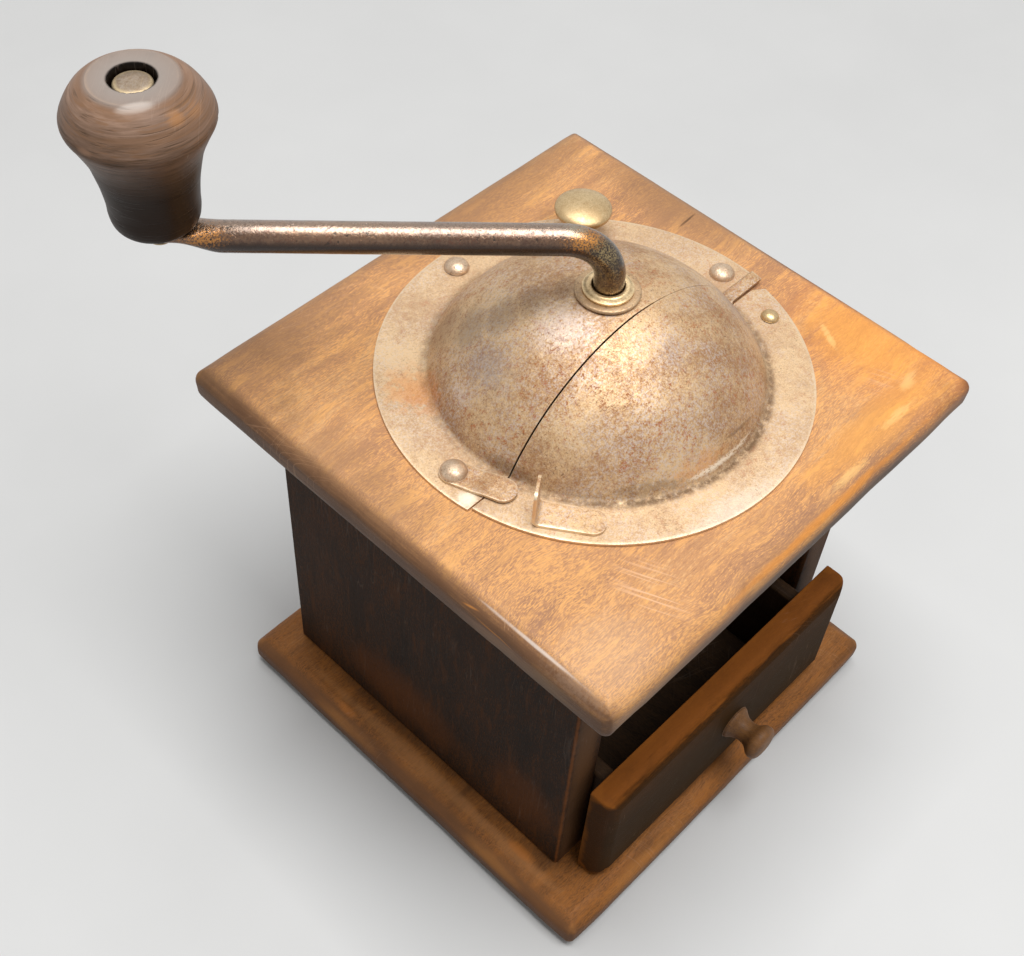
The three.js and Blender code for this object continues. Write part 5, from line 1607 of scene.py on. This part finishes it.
@dataclass(frozen=True)
class DomeHopper(Assembly):
    """The domed sheet hood with its hinged lid, and what is nailed and screwed to it."""

    sheet: float = 0.8
    play: float = 0.05
    foot: float = 45.5
    crown: float = 29.0
    fillet: float = 1.8
    hole: float = 5.7
    flange: float = 59.0
    lid_flange: float = 58.0
    lid_lift: float = 0.15
    seam: float = -9.9
    gap: float = 0.5
    fixings: float = 52.7
    pivot_angle: float = -22.5
    pivot_round: float = 10.95
    dent: float = 0.35
    ripple: float = 0.12
    overlap: float = 0.38
    joggle: float = 1.1
    clip: Clip = Clip()
    tab: Tab = Tab()
    nails: tuple[tuple[str, float, float], ...] = (
        ("flange_nail_left", 179.3, 1.75),
        ("flange_nail_back", 90.0, 0.9),
        ("flange_nail_right", 0.0, 0.9),
    )
    rivets: tuple[tuple[str, float, float], ...] = (("lid_pivot", -22.5, 1.1),)
    nail_size: Pair = (3.7, 2.3)
    rivet_size: Pair = (2.6, 1.7)
    shank: float = 8.0
    knob_angle: float = 47.0
    knob_profile: Points = (
        (0, -8.9), (1.5, -7.4), (1.5, -0.1), (1.5, 0), (4.1, 0), (4.2, 0.2), (4.2, 1.2), (3.9, 1.5),
        (3.0, 2.1), (2.45, 2.9), (2.4, 4.2), (2.45, 5.6), (2.9, 6.4), (4.2, 6.8), (6.0, 7.15), (7.3, 7.5),
        (8.0, 8.2), (8.2, 8.9), (8.12, 9.4), (7.7, 9.9), (6.8, 10.4), (5.5, 10.85), (3.9, 11.2),
        (2.2, 11.42), (0.9, 11.49), (0, 11.5),
    )

    def build(self) -> None:
        """Builds and dresses the hood."""
        self.shell("dome_shell", self.flange, self.play, True)
        self.shell("lid_shell", self.lid_flange, self.lid_lift, False)
        self.latch_clip()
        self.finger_tab()
        self.heads()
        self.brass_knob()
        self.bush()

    def profile(self, flange: float, lift: float) -> list[Pair]:
        """Draws the hood's outer surface in section.

        Args:
            flange: The radius of the flange's rim.
            lift: How far the sheet lies over the board.

        Returns:
            Points of [radius, height], from the rim to the hole at the top.
        """
        curve = (self.foot**2 + self.crown**2) / (2 * self.crown)
        centre, plane = self.crown - curve + lift, lift + self.sheet
        rise = plane + self.fillet - centre
        across = math.sqrt((curve + self.fillet) ** 2 - rise**2)
        start = math.atan2(rise, across)
        points = [(r, plane) for r in np.linspace(flange, across + 0.4, 14)]
        for angle in np.linspace(-math.pi / 2, start - math.pi, 8)[:-1]:
            out, up = self.fillet * math.cos(angle), self.fillet * math.sin(angle)
            points.append((across + out, plane + self.fillet + up))
        for angle in np.linspace(start, math.acos(self.hole / curve), 56):
            points.append((curve * math.cos(angle), centre + curve * math.sin(angle)))
        return points

    def shell(self, node: str, flange: float, lift: float, rear: bool) -> None:
        """Builds one half of the hood over its node.

        Args:
            node: The half's node.
            flange: The radius of its flange's rim.
            lift: How far it lies over the board.
            rear: True for the fixed half, False for the lid.
        """
        whole = np.radians(np.arange(0, 360, 1.0))
        by_pivot = np.radians(np.arange(344, 357, 0.25))
        angles = np.unique(np.concatenate([whole, by_pivot]))
        rings = []
        for radius, height in self.profile(flange, lift):
            across = (radius * np.cos(angles), radius * np.sin(angles))
            rings.append(np.column_stack([*across, np.full(len(angles), height)]))
        points, faces = loft(rings, True)
        mesh = mesh_from(node + "_dressed", points, faces[: -len(angles)])
        line = self.seam + (self.gap if rear else -self.gap) / 2
        at, away = (0, line * MM, 0), Vector((0, -1 if rear else 1, 0))
        with opened(mesh) as body:
            parts = [*body.verts, *body.edges, *body.faces]
            bmesh.ops.bisect_plane(body, geom=parts, plane_co=at, plane_no=away, clear_outer=True)
            if not rear:
                self.round_corner(body)
            for vert in body.verts:
                self.form(vert.co, rear)
            self.mark_edges(body, flange, line)
            if sum(f.normal.z for f in body.faces) < 0:
                bmesh.ops.reverse_faces(body, faces=body.faces)
        mesh.transform(Matrix.Translation(MILL_PLACE))
        finish = DOME_METAL if rear else replace(DOME_METAL, name="lid_metal")
        piece = sheet_of(smoothed(mesh, 50), node + "_dressed", self.sheet)
        self.keep(piece, finish, "case" if rear else "lid", "dome_steel", node)

    def round_corner(self, body: bmesh.types.BMesh) -> None:
        """Rounds the end of the lid's flange about its pivot, so that it clears the hood as it swings.

        Args:
            body: The lid's mesh, open for editing.
        """
        for degrees in range(15, 76, 10):
            out = on_circle(1, degrees) / MM
            parts = [*body.verts, *body.edges, *body.faces]
            at = on_circle(self.fixings, self.pivot_angle) + out * self.pivot_round * MM
            bmesh.ops.bisect_plane(body, geom=parts, plane_co=at, plane_no=out, clear_outer=True)

    def form(self, place: Vector, rear: bool) -> None:
        """Bends a point of the hood as the years and the joggled end of the rear flange have.

        Args:
            place: The point, which is moved.
            rear: True for the fixed half, False for the lid.
        """
        x, y, z = place / MM
        reach, foot = math.hypot(x, y), self.foot
        if reach < foot - 1:
            at = Vector((x, y, z))
            depth = self.dent * max(0.0, noise.noise(at * 0.05)) + self.ripple * abs(noise.noise(at * 0.16))
            shrink = 1 - depth * smooth_step(foot - 1, foot - 6.5, reach) * smooth_step(6, 12, reach) / 48
            place.x, place.y = place.x * shrink, place.y * shrink
            sunk = float(smooth_step(foot - 1, foot - 8.5, reach)) * float(smooth_step(8, 16, reach))
            place.z -= depth * MM * 0.5 * sunk
        if rear and x > -4:
            near = float(smooth_step(2.4, 0.0, y - (self.seam + self.gap / 2)))
            right = float(smooth_step(-4, 14, x)) * float(smooth_step(foot + 1.5, foot - 0.5, reach))
            place.y -= self.overlap * MM * near * right
        if rear and x > 0:
            step = float(smooth_step(-5.25, -6.05, y)) * float(smooth_step(foot - 0.9, foot + 0.7, reach))
            place.z += self.joggle * MM * step

    def mark_edges(self, body: bmesh.types.BMesh, flange: float, line: float) -> None:
        """Marks the rim and the seam, where handling keeps the metal bright, and the dirt at the foot.

        Args:
            body: The half's mesh, open for editing.
            flange: The radius of its flange's rim.
            line: Where its seam runs.
        """
        bright = body.verts.layers.float.new("edge")
        dirt = body.verts.layers.float.new("grime")
        for vert in body.verts:
            x, y, _ = vert.co / MM
            rim = float(smooth_step(1.6, 0.2, flange - math.hypot(x, y)))
            seam = float(smooth_step(0.9, 0.1, abs(y - line))) * 0.6
            vert[bright] = max(rim, seam)
            foot = math.exp(-(((math.hypot(x, y) - self.foot - 0.5) / 1.2) ** 2))
            vert[dirt] = foot * (0.35 + 0.5 * max(0.0, -y / 45))

    @staticmethod
    def strip(name: str, path: Points, halves: Points) -> Mesh:
        """Makes a narrow bent sheet whose outer face looks up.

        Args:
            name: The mesh's name.
            path: Points of [along, height] of its outer face.
            halves: How far it reaches to each side at each of these points.

        Returns:
            The mesh, with its edges marked.
        """
        across = np.linspace(-1, 1, 9)
        points, edge = [], []
        for (along, height), (right, left) in zip(path, halves):
            for share in across:
                points.append((along, share * (left if share > 0 else right), height))
                edge.append(0.9 if abs(share) == 1 else 0.15)
        count = len(across)
        faces = []
        for i in range(len(path) - 1):
            for a in range(i * count, (i + 1) * count - 1):
                faces.append((a, a + 1, a + count + 1, a + count))
        mesh = mesh_from(name, np.array(points), faces, edge=edge)
        if sum(p.normal.z * p.area for p in mesh.polygons) < 0:
            mesh.flip_normals()
        return mesh

    @staticmethod
    def rounded(
        along: float, start: float, end: float, half: float, start_round: float, end_round: float
    ) -> float:
        """Finds how far a strip with round ends reaches to each side.

        Args:
            along: The place along the strip.
            start: Where the strip starts.
            end: Where it ends.
            half: Half its full width.
            start_round: The radius of its start.
            end_round: The radius of its end.

        Returns:
            Half its width at that place.
        """
        for gap, radius in ((along - start, start_round), (end - along, end_round)):
            if gap < radius:
                flat = max(half - radius, 0.0)
                return flat + math.sqrt(max(radius**2 - (radius - max(gap, 0)) ** 2, 0.0)) + 0.02
        return half

    def latch_clip(self) -> None:
        """Builds the clip that holds down the left end of the lid."""
        clip = self.clip
        foot = 2 * (self.play + self.sheet)
        path, halves = [], []
        turn = clip.half * np.sin(np.linspace(0, math.pi / 2, 12))
        ends = (clip.half - clip.tail - turn[::-1], clip.length - clip.half + turn)
        for along in np.concatenate([ends[0], np.linspace(0.6, 13, 26), ends[1]]).tolist():
            path.append((along, foot + clip.rise * float(smooth_step(6.0, 10.5, along))))
            half = self.rounded(along, -clip.tail, clip.length, clip.half, clip.half, clip.half)
            halves.append((half, half))
        mesh = self.strip("latch_clip_dressed", path, halves)
        shifted(mesh, on_mill(self.fixings, clip.angle), clip.turn)
        finish = replace(DOME_METAL, name="clip_metal", layers=(), rust_amount=0.35)
        piece = sheet_of(smoothed(mesh, 60), "latch_clip_dressed", self.sheet)
        self.keep(piece, finish, "case", "dome_steel", "latch_clip")

    def finger_tab(self) -> None:
        """Builds the bent finger tab on the lid, one strip from its tip to the end of its foot."""
        tab, sheet = self.tab, self.sheet
        foot = self.lid_lift + sheet + self.play
        path, halves = [], []
        tip = tab.tip_round * (1 - np.cos(np.linspace(0, math.pi / 2, 8)))
        for down in np.concatenate([tip, np.linspace(2.2, tab.height - tab.bend - sheet - 0.2, 6)]).tolist():
            path.append((sheet, foot + tab.height - down))
            half = self.rounded(down, 0, tab.height * 9, tab.half, tab.tip_round, tab.tip_round)
            halves.append((half, half))
        for angle in np.linspace(0, math.pi / 2, 7):
            along, up = sheet + tab.bend - tab.bend * math.cos(angle), tab.bend - tab.bend * math.sin(angle)
            path.append((along, foot + sheet + up))
            halves.append((tab.half, tab.half))
        end = tab.length - tab.end_round * (1 - np.sin(np.linspace(0.1, math.pi / 2, 12)))
        for along in np.concatenate([np.linspace(3.2, tab.length - 3.8, 12), end]).tolist():
            half = self.rounded(along, -tab.length / 2, tab.length, tab.half, 0.1, tab.end_round)
            path.append((along, foot + sheet))
            halves.append((half, half - tab.bite * math.exp(-(((along - tab.bite_at) / 0.8) ** 2))))
        mesh = self.strip("finger_tab_dressed", path, halves)
        shifted(mesh, on_mill(tab.radius, tab.angle), tab.turn)
        finish = replace(DOME_METAL, name="tab_metal", layers=(), rust_amount=0.45, wear_amount=0.95)
        piece = sheet_of(smoothed(mesh, 60), "finger_tab_dressed", sheet)
        self.keep(piece, finish, "lid", "dome_steel", "finger_tab")

    def heads(self) -> None:
        """Builds the nails and the lid's pivot, all from one tree."""
        tree = domed_heads()
        rivet = replace(BRASS_METAL, name="rivet_metal", bump=0.25)
        for name, places, size, finish in (
            ("flange_nails", self.nails, self.nail_size, NAIL_METAL),
            ("lid_rivet", self.rivets, self.rivet_size, rivet),
        ):
            nodes = [node for node, _, _ in places]
            points = [on_mill(self.fixings, angle, height) for _, angle, height in places]
            wide, tall = ([c * MM] * len(points) for c in size)
            seed = seed_mesh(name + "_places", points, False, wide=wide, tall=tall)
            material = finish.material(self.effects, *box_of(nodes))
            piece = tree.grow(name, seed, Shank=self.shank * MM, Hammered=0.08, Seed=3, Material=material)
            self.keep(piece, None, "case", "fixing_steel", *nodes)

    def brass_knob(self) -> None:
        """Builds the turned brass knob on the rear flange."""
        mesh = lathe("brass_knob_dressed", self.knob_profile, 72, bare=0.4)
        shifted(mesh, on_mill(self.fixings, self.knob_angle, self.play + self.sheet + self.play))
        self.keep(add_object("brass_knob_dressed", mesh), BRASS_METAL, "case", "brass", "brass_knob")

    def bush(self) -> None:
        """Builds the bush in the hood's crown and the washer under its collar."""
        low, high = box_in_mm("bush_washer")
        foot, top = low.z - MILL_PLACE.z / MM, high.z - MILL_PLACE.z / MM
        washer = (
            (5.5, foot), (8.3, foot), (8.5, foot + 0.15), (8.5, top - 0.35), (8.3, top - 0.1), (8.0, top),
            (5.7, top), (5.5, top - 0.1),
        )
        mesh = shifted(lathe("bush_washer_dressed", washer, 72, closed=True, bare=0.5), MILL_PLACE)
        finish = replace(NAIL_METAL, name="washer_metal", clean="cfae86", tarnish="8c6c4c", roughness=0.45)
        self.keep(add_object("bush_washer_dressed", mesh), finish, "case", "rod_steel", "bush_washer")
        low, high = box_in_mm("crank_bush")
        foot, crown = low.z - MILL_PLACE.z / MM, high.z - MILL_PLACE.z / MM
        seat = top + self.play
        bush = (
            (4.3, foot), (6.9, foot), (7.0, foot + 0.1), (7.0, foot + 0.8), (5.4, foot + 0.8), (5.4, seat),
            (6.5, seat), (6.6, seat + 0.12), (6.6, seat + 0.6), (6.45, seat + 0.75), (5.9, seat + 0.9),
            (5.6, crown - 0.35), (5.4, crown - 0.08), (5.25, crown), (4.45, crown), (4.3, crown - 0.12),
        )
        mesh = shifted(lathe("crank_bush_dressed", bush, 72, closed=True, bare=0.5), MILL_PLACE)
        finish = replace(
            BRASS_METAL, name="bush_metal", clean="fbe2b4", tarnish="c49c68", rust_amount=0.4, bump=0.3
        )
        self.keep(add_object("crank_bush_dressed", mesh), finish, "case", "brass", "crank_bush")


@dataclass(frozen=True)
class CrankAndHandle(Assembly):
    """The bent rod, the pin at its end and the turned handle. Heights count from the top board."""

    heading: float = 136.1
    length: float = 108.0
    rod: float = 4.0
    middle: float = 45.6
    bend: float = 12.0
    eye: float = 4.7
    eye_thick: float = 3.8
    taper: float = 11.0
    eye_under: float = 45.75
    handle_foot: float = 50.0
    handle_height: float = 40.3
    pin_sunk: float = 1.2
    hole_deep: float = 4.2
    outside: Points = (
        (6.8, 0), (8.9, 1), (10.3, 2.5), (10.8, 5), (10.9, 8), (11.3, 11.5), (11.85, 15), (12.7, 19),
        (13.25, 21), (14.0, 23), (14.9, 25), (16.1, 27.5), (17.1, 29.5), (17.3, 31), (16.75, 32.7),
        (15.55, 35), (14.2, 37), (12.5, 38.6), (10.8, 39.7), (9.9, 40.3),
    )
    inside: Points = (
        (8.5, 40.3), (6.0, 40.3), (5.4, 40.2), (5.2, 39.9), (5.2, 36.2), (5.1, 36.1), (2.7, 36.1),
    )
    bore: float = 2.7

    def build(self) -> None:
        """Builds and dresses the crank and its handle."""
        self.crank_rod()
        self.pin()
        self.handle()

    def line(self) -> list[Triple]:
        """Draws the rod's middle line, along X.

        Returns:
            Its points, from the foot of the spindle to the tip of the eye.
        """
        low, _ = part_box("crank_arm")
        foot = (low.z - MILL_PLACE.z) / MM
        points = [(0, 0, foot), (0, 0, -20), (0, 0, 0), (0, 0, 20), (0, 0, 28)]
        for angle in np.radians(np.linspace(0, 90, 22)):
            out, up = self.bend * (1 - math.cos(angle)), self.bend * (1 - math.sin(angle))
            points.append((out, 0, self.middle - up))
        straight = np.linspace(self.bend + 2, self.length - 22, 40)
        flare = np.linspace(self.length - 20.5, self.length, 20)
        tip = self.length + self.eye * np.sin(np.linspace(0.15, math.pi / 2, 12))
        return points + [(x, 0, self.middle) for x in np.concatenate([straight, flare, tip]).tolist()]

    def crank_rod(self) -> None:
        """Builds the spindle and arm as one bent rod with a flattened eye."""
        points = self.line()
        flat, wide = [], []
        for x, _, _ in points:
            share = float(smooth_step(self.length - 3.5 - self.taper, self.length - 3.5, x))
            half = self.rod * (1 + 0.12 * share)
            in_eye = x > self.length - self.eye * 0.85
            ball = math.sqrt(max(self.eye**2 - (x - self.length) ** 2, 0.0)) if in_eye else 0.0
            half = max(half, ball) if x < self.length else max(ball, 0.3)
            flat.append(1 + (self.eye_thick / (2 * self.rod) - 1) * share)
            wide.append(half / self.rod)
        seed = seed_mesh("rod_line", [Vector(p) * MM for p in points], True, flat=flat, wide=wide)
        material = ROD_METAL.material(self.effects, *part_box("crank_arm"))
        top = (self.middle + self.rod) * MM
        piece = bent_rod().grow(
            "crank_rod", seed, Radius=self.rod * MM, Top=top, Pitting=0.12, Material=material
        )
        shifted(piece.data, MILL_PLACE, self.heading)
        self.keep(piece, None, "crank", "rod_steel", "crank_arm")

    def pin(self) -> None:
        """Builds the riveted pin through the arm's eye."""
        under, crown = self.eye_under, self.handle_foot + self.handle_height
        floor, top = crown - self.hole_deep, crown - self.pin_sunk
        points = (
            (0, under - 0.7), (2.4, under - 0.7), (3.0, under - 0.5), (3.2, under - 0.2), (3.2, under),
            (2.4, under), (2.4, floor + 0.3), (4.4, floor + 0.3), (4.5, floor + 0.45), (4.5, top - 0.6),
            (4.35, top - 0.25), (4.0, top - 0.02), (2.0, top), (0, top),
        )
        mesh = lathe("handle_pin_dressed", points, 56)
        shifted(mesh, on_mill(self.length, self.heading))
        finish = replace(
            NAIL_METAL, name="pin_metal", clean="96846f", tarnish="6c5848", bright="c9b38c", roughness=0.6
        )
        self.keep(add_object("handle_pin_dressed", mesh), finish, "crank", "fixing_steel", "handle_pin")

    def handle(self) -> None:
        """Builds the turned wooden handle."""
        profile = [(self.bore, 0.05), *hermite(self.outside, 4), *self.inside]
        bare = [0.8 if radius > 6.5 else 0.0 for radius, _ in profile]
        mesh = lathe("handle_knob_dressed", profile, 112, wobble=self.handle_wear, closed=True, bare=bare)
        shifted(mesh, on_mill(self.length, self.heading, self.handle_foot))
        self.keep(
            add_object("handle_knob_dressed", mesh), HANDLE_WOOD, "handle", "handle_wood", "handle_knob"
        )

    @staticmethod
    def handle_wear(place: Vector) -> float:
        """Finds how far the handle is worn away.

        Args:
            place: The place on the handle, from its foot.

        Returns:
            The depth of the wear there. Below 0, the rim of the hole is broken out.
        """
        radius = math.hypot(place.x, place.y)
        if radius < 4:
            return 0.0
        if radius < 6.2 and place.z > 36:
            broken = max(0.0, noise.noise(Vector((place.x, place.y, 3)) * 1.6))
            return -0.09 * broken * float(smooth_step(38.5, 40, place.z)) * radius
        value = 0.05 + 0.09 * abs(noise.noise(place * 0.12)) + 0.04 * abs(noise.noise(place * 0.6))
        chip = max(0.0, noise.noise(Vector((place.x * 0.3, place.y * 0.3, 9))) - 0.15) * 0.9
        return value + chip * math.exp(-(((place.z - 30.5) / 1.1) ** 2))


@dataclass(frozen=True)
class Drawer(Assembly):
    """The drawer, its front a little open, and its turned pull."""

    front_round: float = 4.0
    back_round: float = 0.4
    corner: float = 0.8
    wear: float = 0.16
    box_arris: float = 0.3
    screw_arris: float = 0.12
    dents: tuple[Dent, ...] = (
        Dent((-53, -21, 8), 4, 0.6), Dent((20, 22, 7), 5, 0.35), Dent((54, 15, 7), 4, 0.4),
    )
    pull_profile: Points = (
        (0, 0.02), (5.2, 0.02), (5.4, 0.3), (5.3, 0.9), (4.5, 1.9), (3.8, 3.3), (3.6, 4.9), (3.75, 6.2),
        (4.4, 7.4), (5.2, 8.3), (5.62, 9.1), (5.7, 9.9), (5.55, 10.7), (5.0, 11.4), (4.1, 11.8),
        (2.6, 12.1), (1.2, 12.16), (0, 12.18),
    )

    def build(self) -> None:
        """Builds and dresses the drawer."""
        self.front()
        for i, node in enumerate(("drawer_side_left", "drawer_side_right", "drawer_back", "drawer_bottom")):
            grain = Grain.X if node == "drawer_back" else Grain.Y
            finish = replace(
                DRAWER_BOX_WOOD, name="drawer_box_" + node, shift=(0.2 * i, 0.1 * i, 0.3), grain=grain
            )
            self.refine(node, finish, "drawer", "drawer_wood", self.box_arris)
        self.pull()
        finish = replace(IRON_METAL, name="pull_screw")
        self.refine("drawer_knob_screw", finish, "drawer", "iron", self.screw_arris)

    @staticmethod
    def stand(mesh: Mesh, node: str) -> None:
        """Turns a mesh that lies flat to face the front.

        Args:
            mesh: The mesh, which is changed.
            node: The node whose back its own back meets.
        """
        low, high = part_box(node)
        back = Vector(((low.x + high.x) / 2, high.y, (low.z + high.z) / 2))
        mesh.transform(Matrix.Translation(back) @ Matrix.Rotation(math.radians(90), 4, "X"))

    def front(self) -> None:
        """Builds the drawer front, rounded towards the viewer."""
        low, high = box_in_mm("drawer_front")
        size = high - low
        rounds = (self.front_round, self.back_round, self.corner, self.wear)
        mesh = BoardShape((size.x, size.z, size.y), *rounds, dents=self.dents).build("drawer_front_dressed")
        self.stand(mesh, "drawer_front")
        self.keep(
            add_object("drawer_front_dressed", mesh), DRAWER_WOOD, "drawer", "drawer_wood", "drawer_front"
        )

    def pull(self) -> None:
        """Builds the turned pull."""
        profile = hermite(self.pull_profile, 3)
        mesh = lathe("drawer_pull", profile, 64, wobble=self.pull_wear, bare=0.7)
        self.stand(mesh, "drawer_knob")
        self.keep(add_object("drawer_pull", mesh), PULL_WOOD, "drawer", "drawer_wood", "drawer_knob")

    @staticmethod
    def pull_wear(place: Vector) -> float:
        """How far the pull is worn away at a place."""
        return 0.03 + 0.12 * abs(noise.noise(place * 0.35))


@dataclass(frozen=True)
class GrindingWorks(Assembly):
    """The bowl, burrs, bearing and adjuster inside the case: each node, its body, slot and arris."""

    pieces: tuple[tuple[str, str, str, float], ...] = (
        ("hopper_bowl", "case", "fixing_steel", 0.0),
        ("ring_burr", "case", "iron", 0.2),
        ("cone_burr", "crank", "iron", 0.2),
        ("bearing_bridge", "case", "iron", 0.3),
        ("burr_rivet_left", "case", "fixing_steel", 0.0),
        ("burr_rivet_right", "case", "fixing_steel", 0.0),
        ("adjusting_screw", "adjuster", "brass", 0.2),
        ("detent_spring", "case", "fixing_steel", 0.1),
    )

    def build(self) -> None:
        """Dresses finer copies of the works."""
        finishes = {"iron": IRON_METAL, "fixing_steel": NAIL_METAL, "brass": BRASS_METAL}
        for node, body, slot, arris in self.pieces:
            self.refine(node, replace(finishes[slot], name="works_" + node), body, slot, arris)


# Stage


def seen_directly(graph: Graph) -> Socket:
    """Tells the rays that look at the surround from the rays that it lights things by.

    Args:
        graph: The graph of its material.

    Returns:
        1 where it is looked at, straight or in a reflection, and 0 elsewhere.
    """
    rays = graph.add("ShaderNodeLightPath").outputs
    mirrored = graph.most(rays["Is Glossy Ray"], rays["Is Transmission Ray"])
    return graph.most(rays["Is Camera Ray"], mirrored)


@dataclass(frozen=True)
class Viewpoint:
    """Where the picture is taken from, in millimetres and degrees."""

    place: Triple = (-215.69, -160.15, 423.82)
    azimuth: float = -49.56
    elevation: float = 51.07
    roll: float = 4.45
    lens: float = 51.93
    sensor: float = 36.0
    clip: Pair = (10.0, 20000.0)

    def build(self) -> None:
        """Makes the camera."""
        a, e, r = (math.radians(v) for v in (self.azimuth, self.elevation, self.roll))
        back = Vector((math.sin(a) * math.cos(e), -math.cos(a) * math.cos(e), math.sin(e)))
        flat = (-back).cross(Vector((0, 0, 1))).normalized()
        rise = flat.cross(-back)
        right = math.cos(r) * flat + math.sin(r) * rise
        up = -math.sin(r) * flat + math.cos(r) * rise
        data = bpy.data.cameras.new("camera")
        data.lens, data.sensor_width = self.lens, self.sensor
        data.clip_start, data.clip_end = (c * MM for c in self.clip)
        camera = add_object("camera", data)
        turn = Matrix((right, up, back)).transposed().to_4x4()
        camera.matrix_world = Matrix.Translation(Vector(self.place) * MM) @ turn
        bpy.context.scene.camera = camera


@dataclass(frozen=True)
class Studio:
    """A pale floor, a long soft box overhead and an even surround, in metres."""

    key_size: Pair = (0.62, 1.15)
    key_place: Triple = (0.03, -0.16, 1.38)
    key_power: float = 19.0
    surround: float = 0.3
    backdrop: float = 0.8
    floor_reach: float = 3.0
    floor_under: float = 0.0002
    floor_fade: Pair = (0.6, 1.5)
    floor_seen: tuple[str, str] = ("cfcfce", "dadad9")
    floor_light: str = "8a8a8a"
    floor_roughness: float = 0.7

    def build(self) -> None:
        """Makes the floor, the lamp and the world."""
        self.floor()
        self.lamp()
        self.world()
        bpy.context.scene.view_settings.view_transform = "Standard"

    def floor(self) -> None:
        """Makes the floor under the mill."""
        mesh = bpy.data.meshes.new("floor")
        r = self.floor_reach
        mesh.from_pydata([(-r, -r, 0), (r, -r, 0), (r, r, 0), (-r, r, 0)], [], [(0, 1, 2, 3)])
        floor = add_object("floor", mesh)
        floor.location.z = -self.floor_under
        floor.data.materials.append(self.floor_paint())

    def floor_paint(self) -> bpy.types.Material:
        """Makes the floor's material, which fades into the backdrop far away.

        Returns:
            The material.
        """
        made, graph, shader, place = new_material("floor_paint")
        dim, pale = (colour(code) for code in self.floor_seen)
        cloudy = graph.ramp(graph.noise(place, 3.0, detail=5, rough=0.6), ((0.3, dim), (0.7, pale)))
        shade = graph.mix(seen_directly(graph), colour(self.floor_light), cloudy)
        graph.feed(shader, "Base Color", shade)
        graph.feed(shader, "Roughness", self.floor_roughness)
        far = graph.times(graph.band(graph.vector("LENGTH", place), *self.floor_fade), seen_directly(graph))
        glow = graph.add("ShaderNodeEmission", {"Color": (1, 1, 1, 1), "Strength": self.backdrop})
        faded = graph.add("ShaderNodeMixShader", {0: far, 1: shader.outputs[0], 2: glow.outputs[0]})
        graph.feed(graph.tree.get_output_node("ALL"), "Surface", faded.outputs[0])
        return made

    def lamp(self) -> None:
        """Makes the soft box."""
        data = bpy.data.lights.new("soft_box", "AREA")
        data.shape = "RECTANGLE"
        data.size, data.size_y = self.key_size
        data.energy = self.key_power
        add_object("soft_box", data).location = self.key_place

    def world(self) -> None:
        """Makes the surround, pale to the camera and in reflections."""
        world = bpy.data.worlds.new("surround")
        world.use_nodes = True
        world.node_tree.nodes.clear()
        graph = Graph(world.node_tree)
        dim = graph.add("ShaderNodeBackground", {"Color": (1, 1, 1, 1), "Strength": self.surround})
        pale = graph.add("ShaderNodeBackground", {"Color": (1, 1, 1, 1), "Strength": self.backdrop})
        mixed = graph.add(
            "ShaderNodeMixShader", {0: seen_directly(graph), 1: dim.outputs[0], 2: pale.outputs[0]}
        )
        graph.add("ShaderNodeOutputWorld", {"Surface": mixed.outputs[0]})
        bpy.context.scene.world = world


def main() -> None:
    """Builds the whole picture over the frame."""
    logging.basicConfig(level=logging.INFO, format="%(name)s: %(message)s")
    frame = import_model()
    effects = Effects()
    for kind in (WoodenCase, DomeHopper, CrankAndHandle, Drawer, GrindingWorks):
        kind(frame["nodes"], effects).build()
    Studio().build()
    Viewpoint().build()


if __name__ == "__main__":
    main()
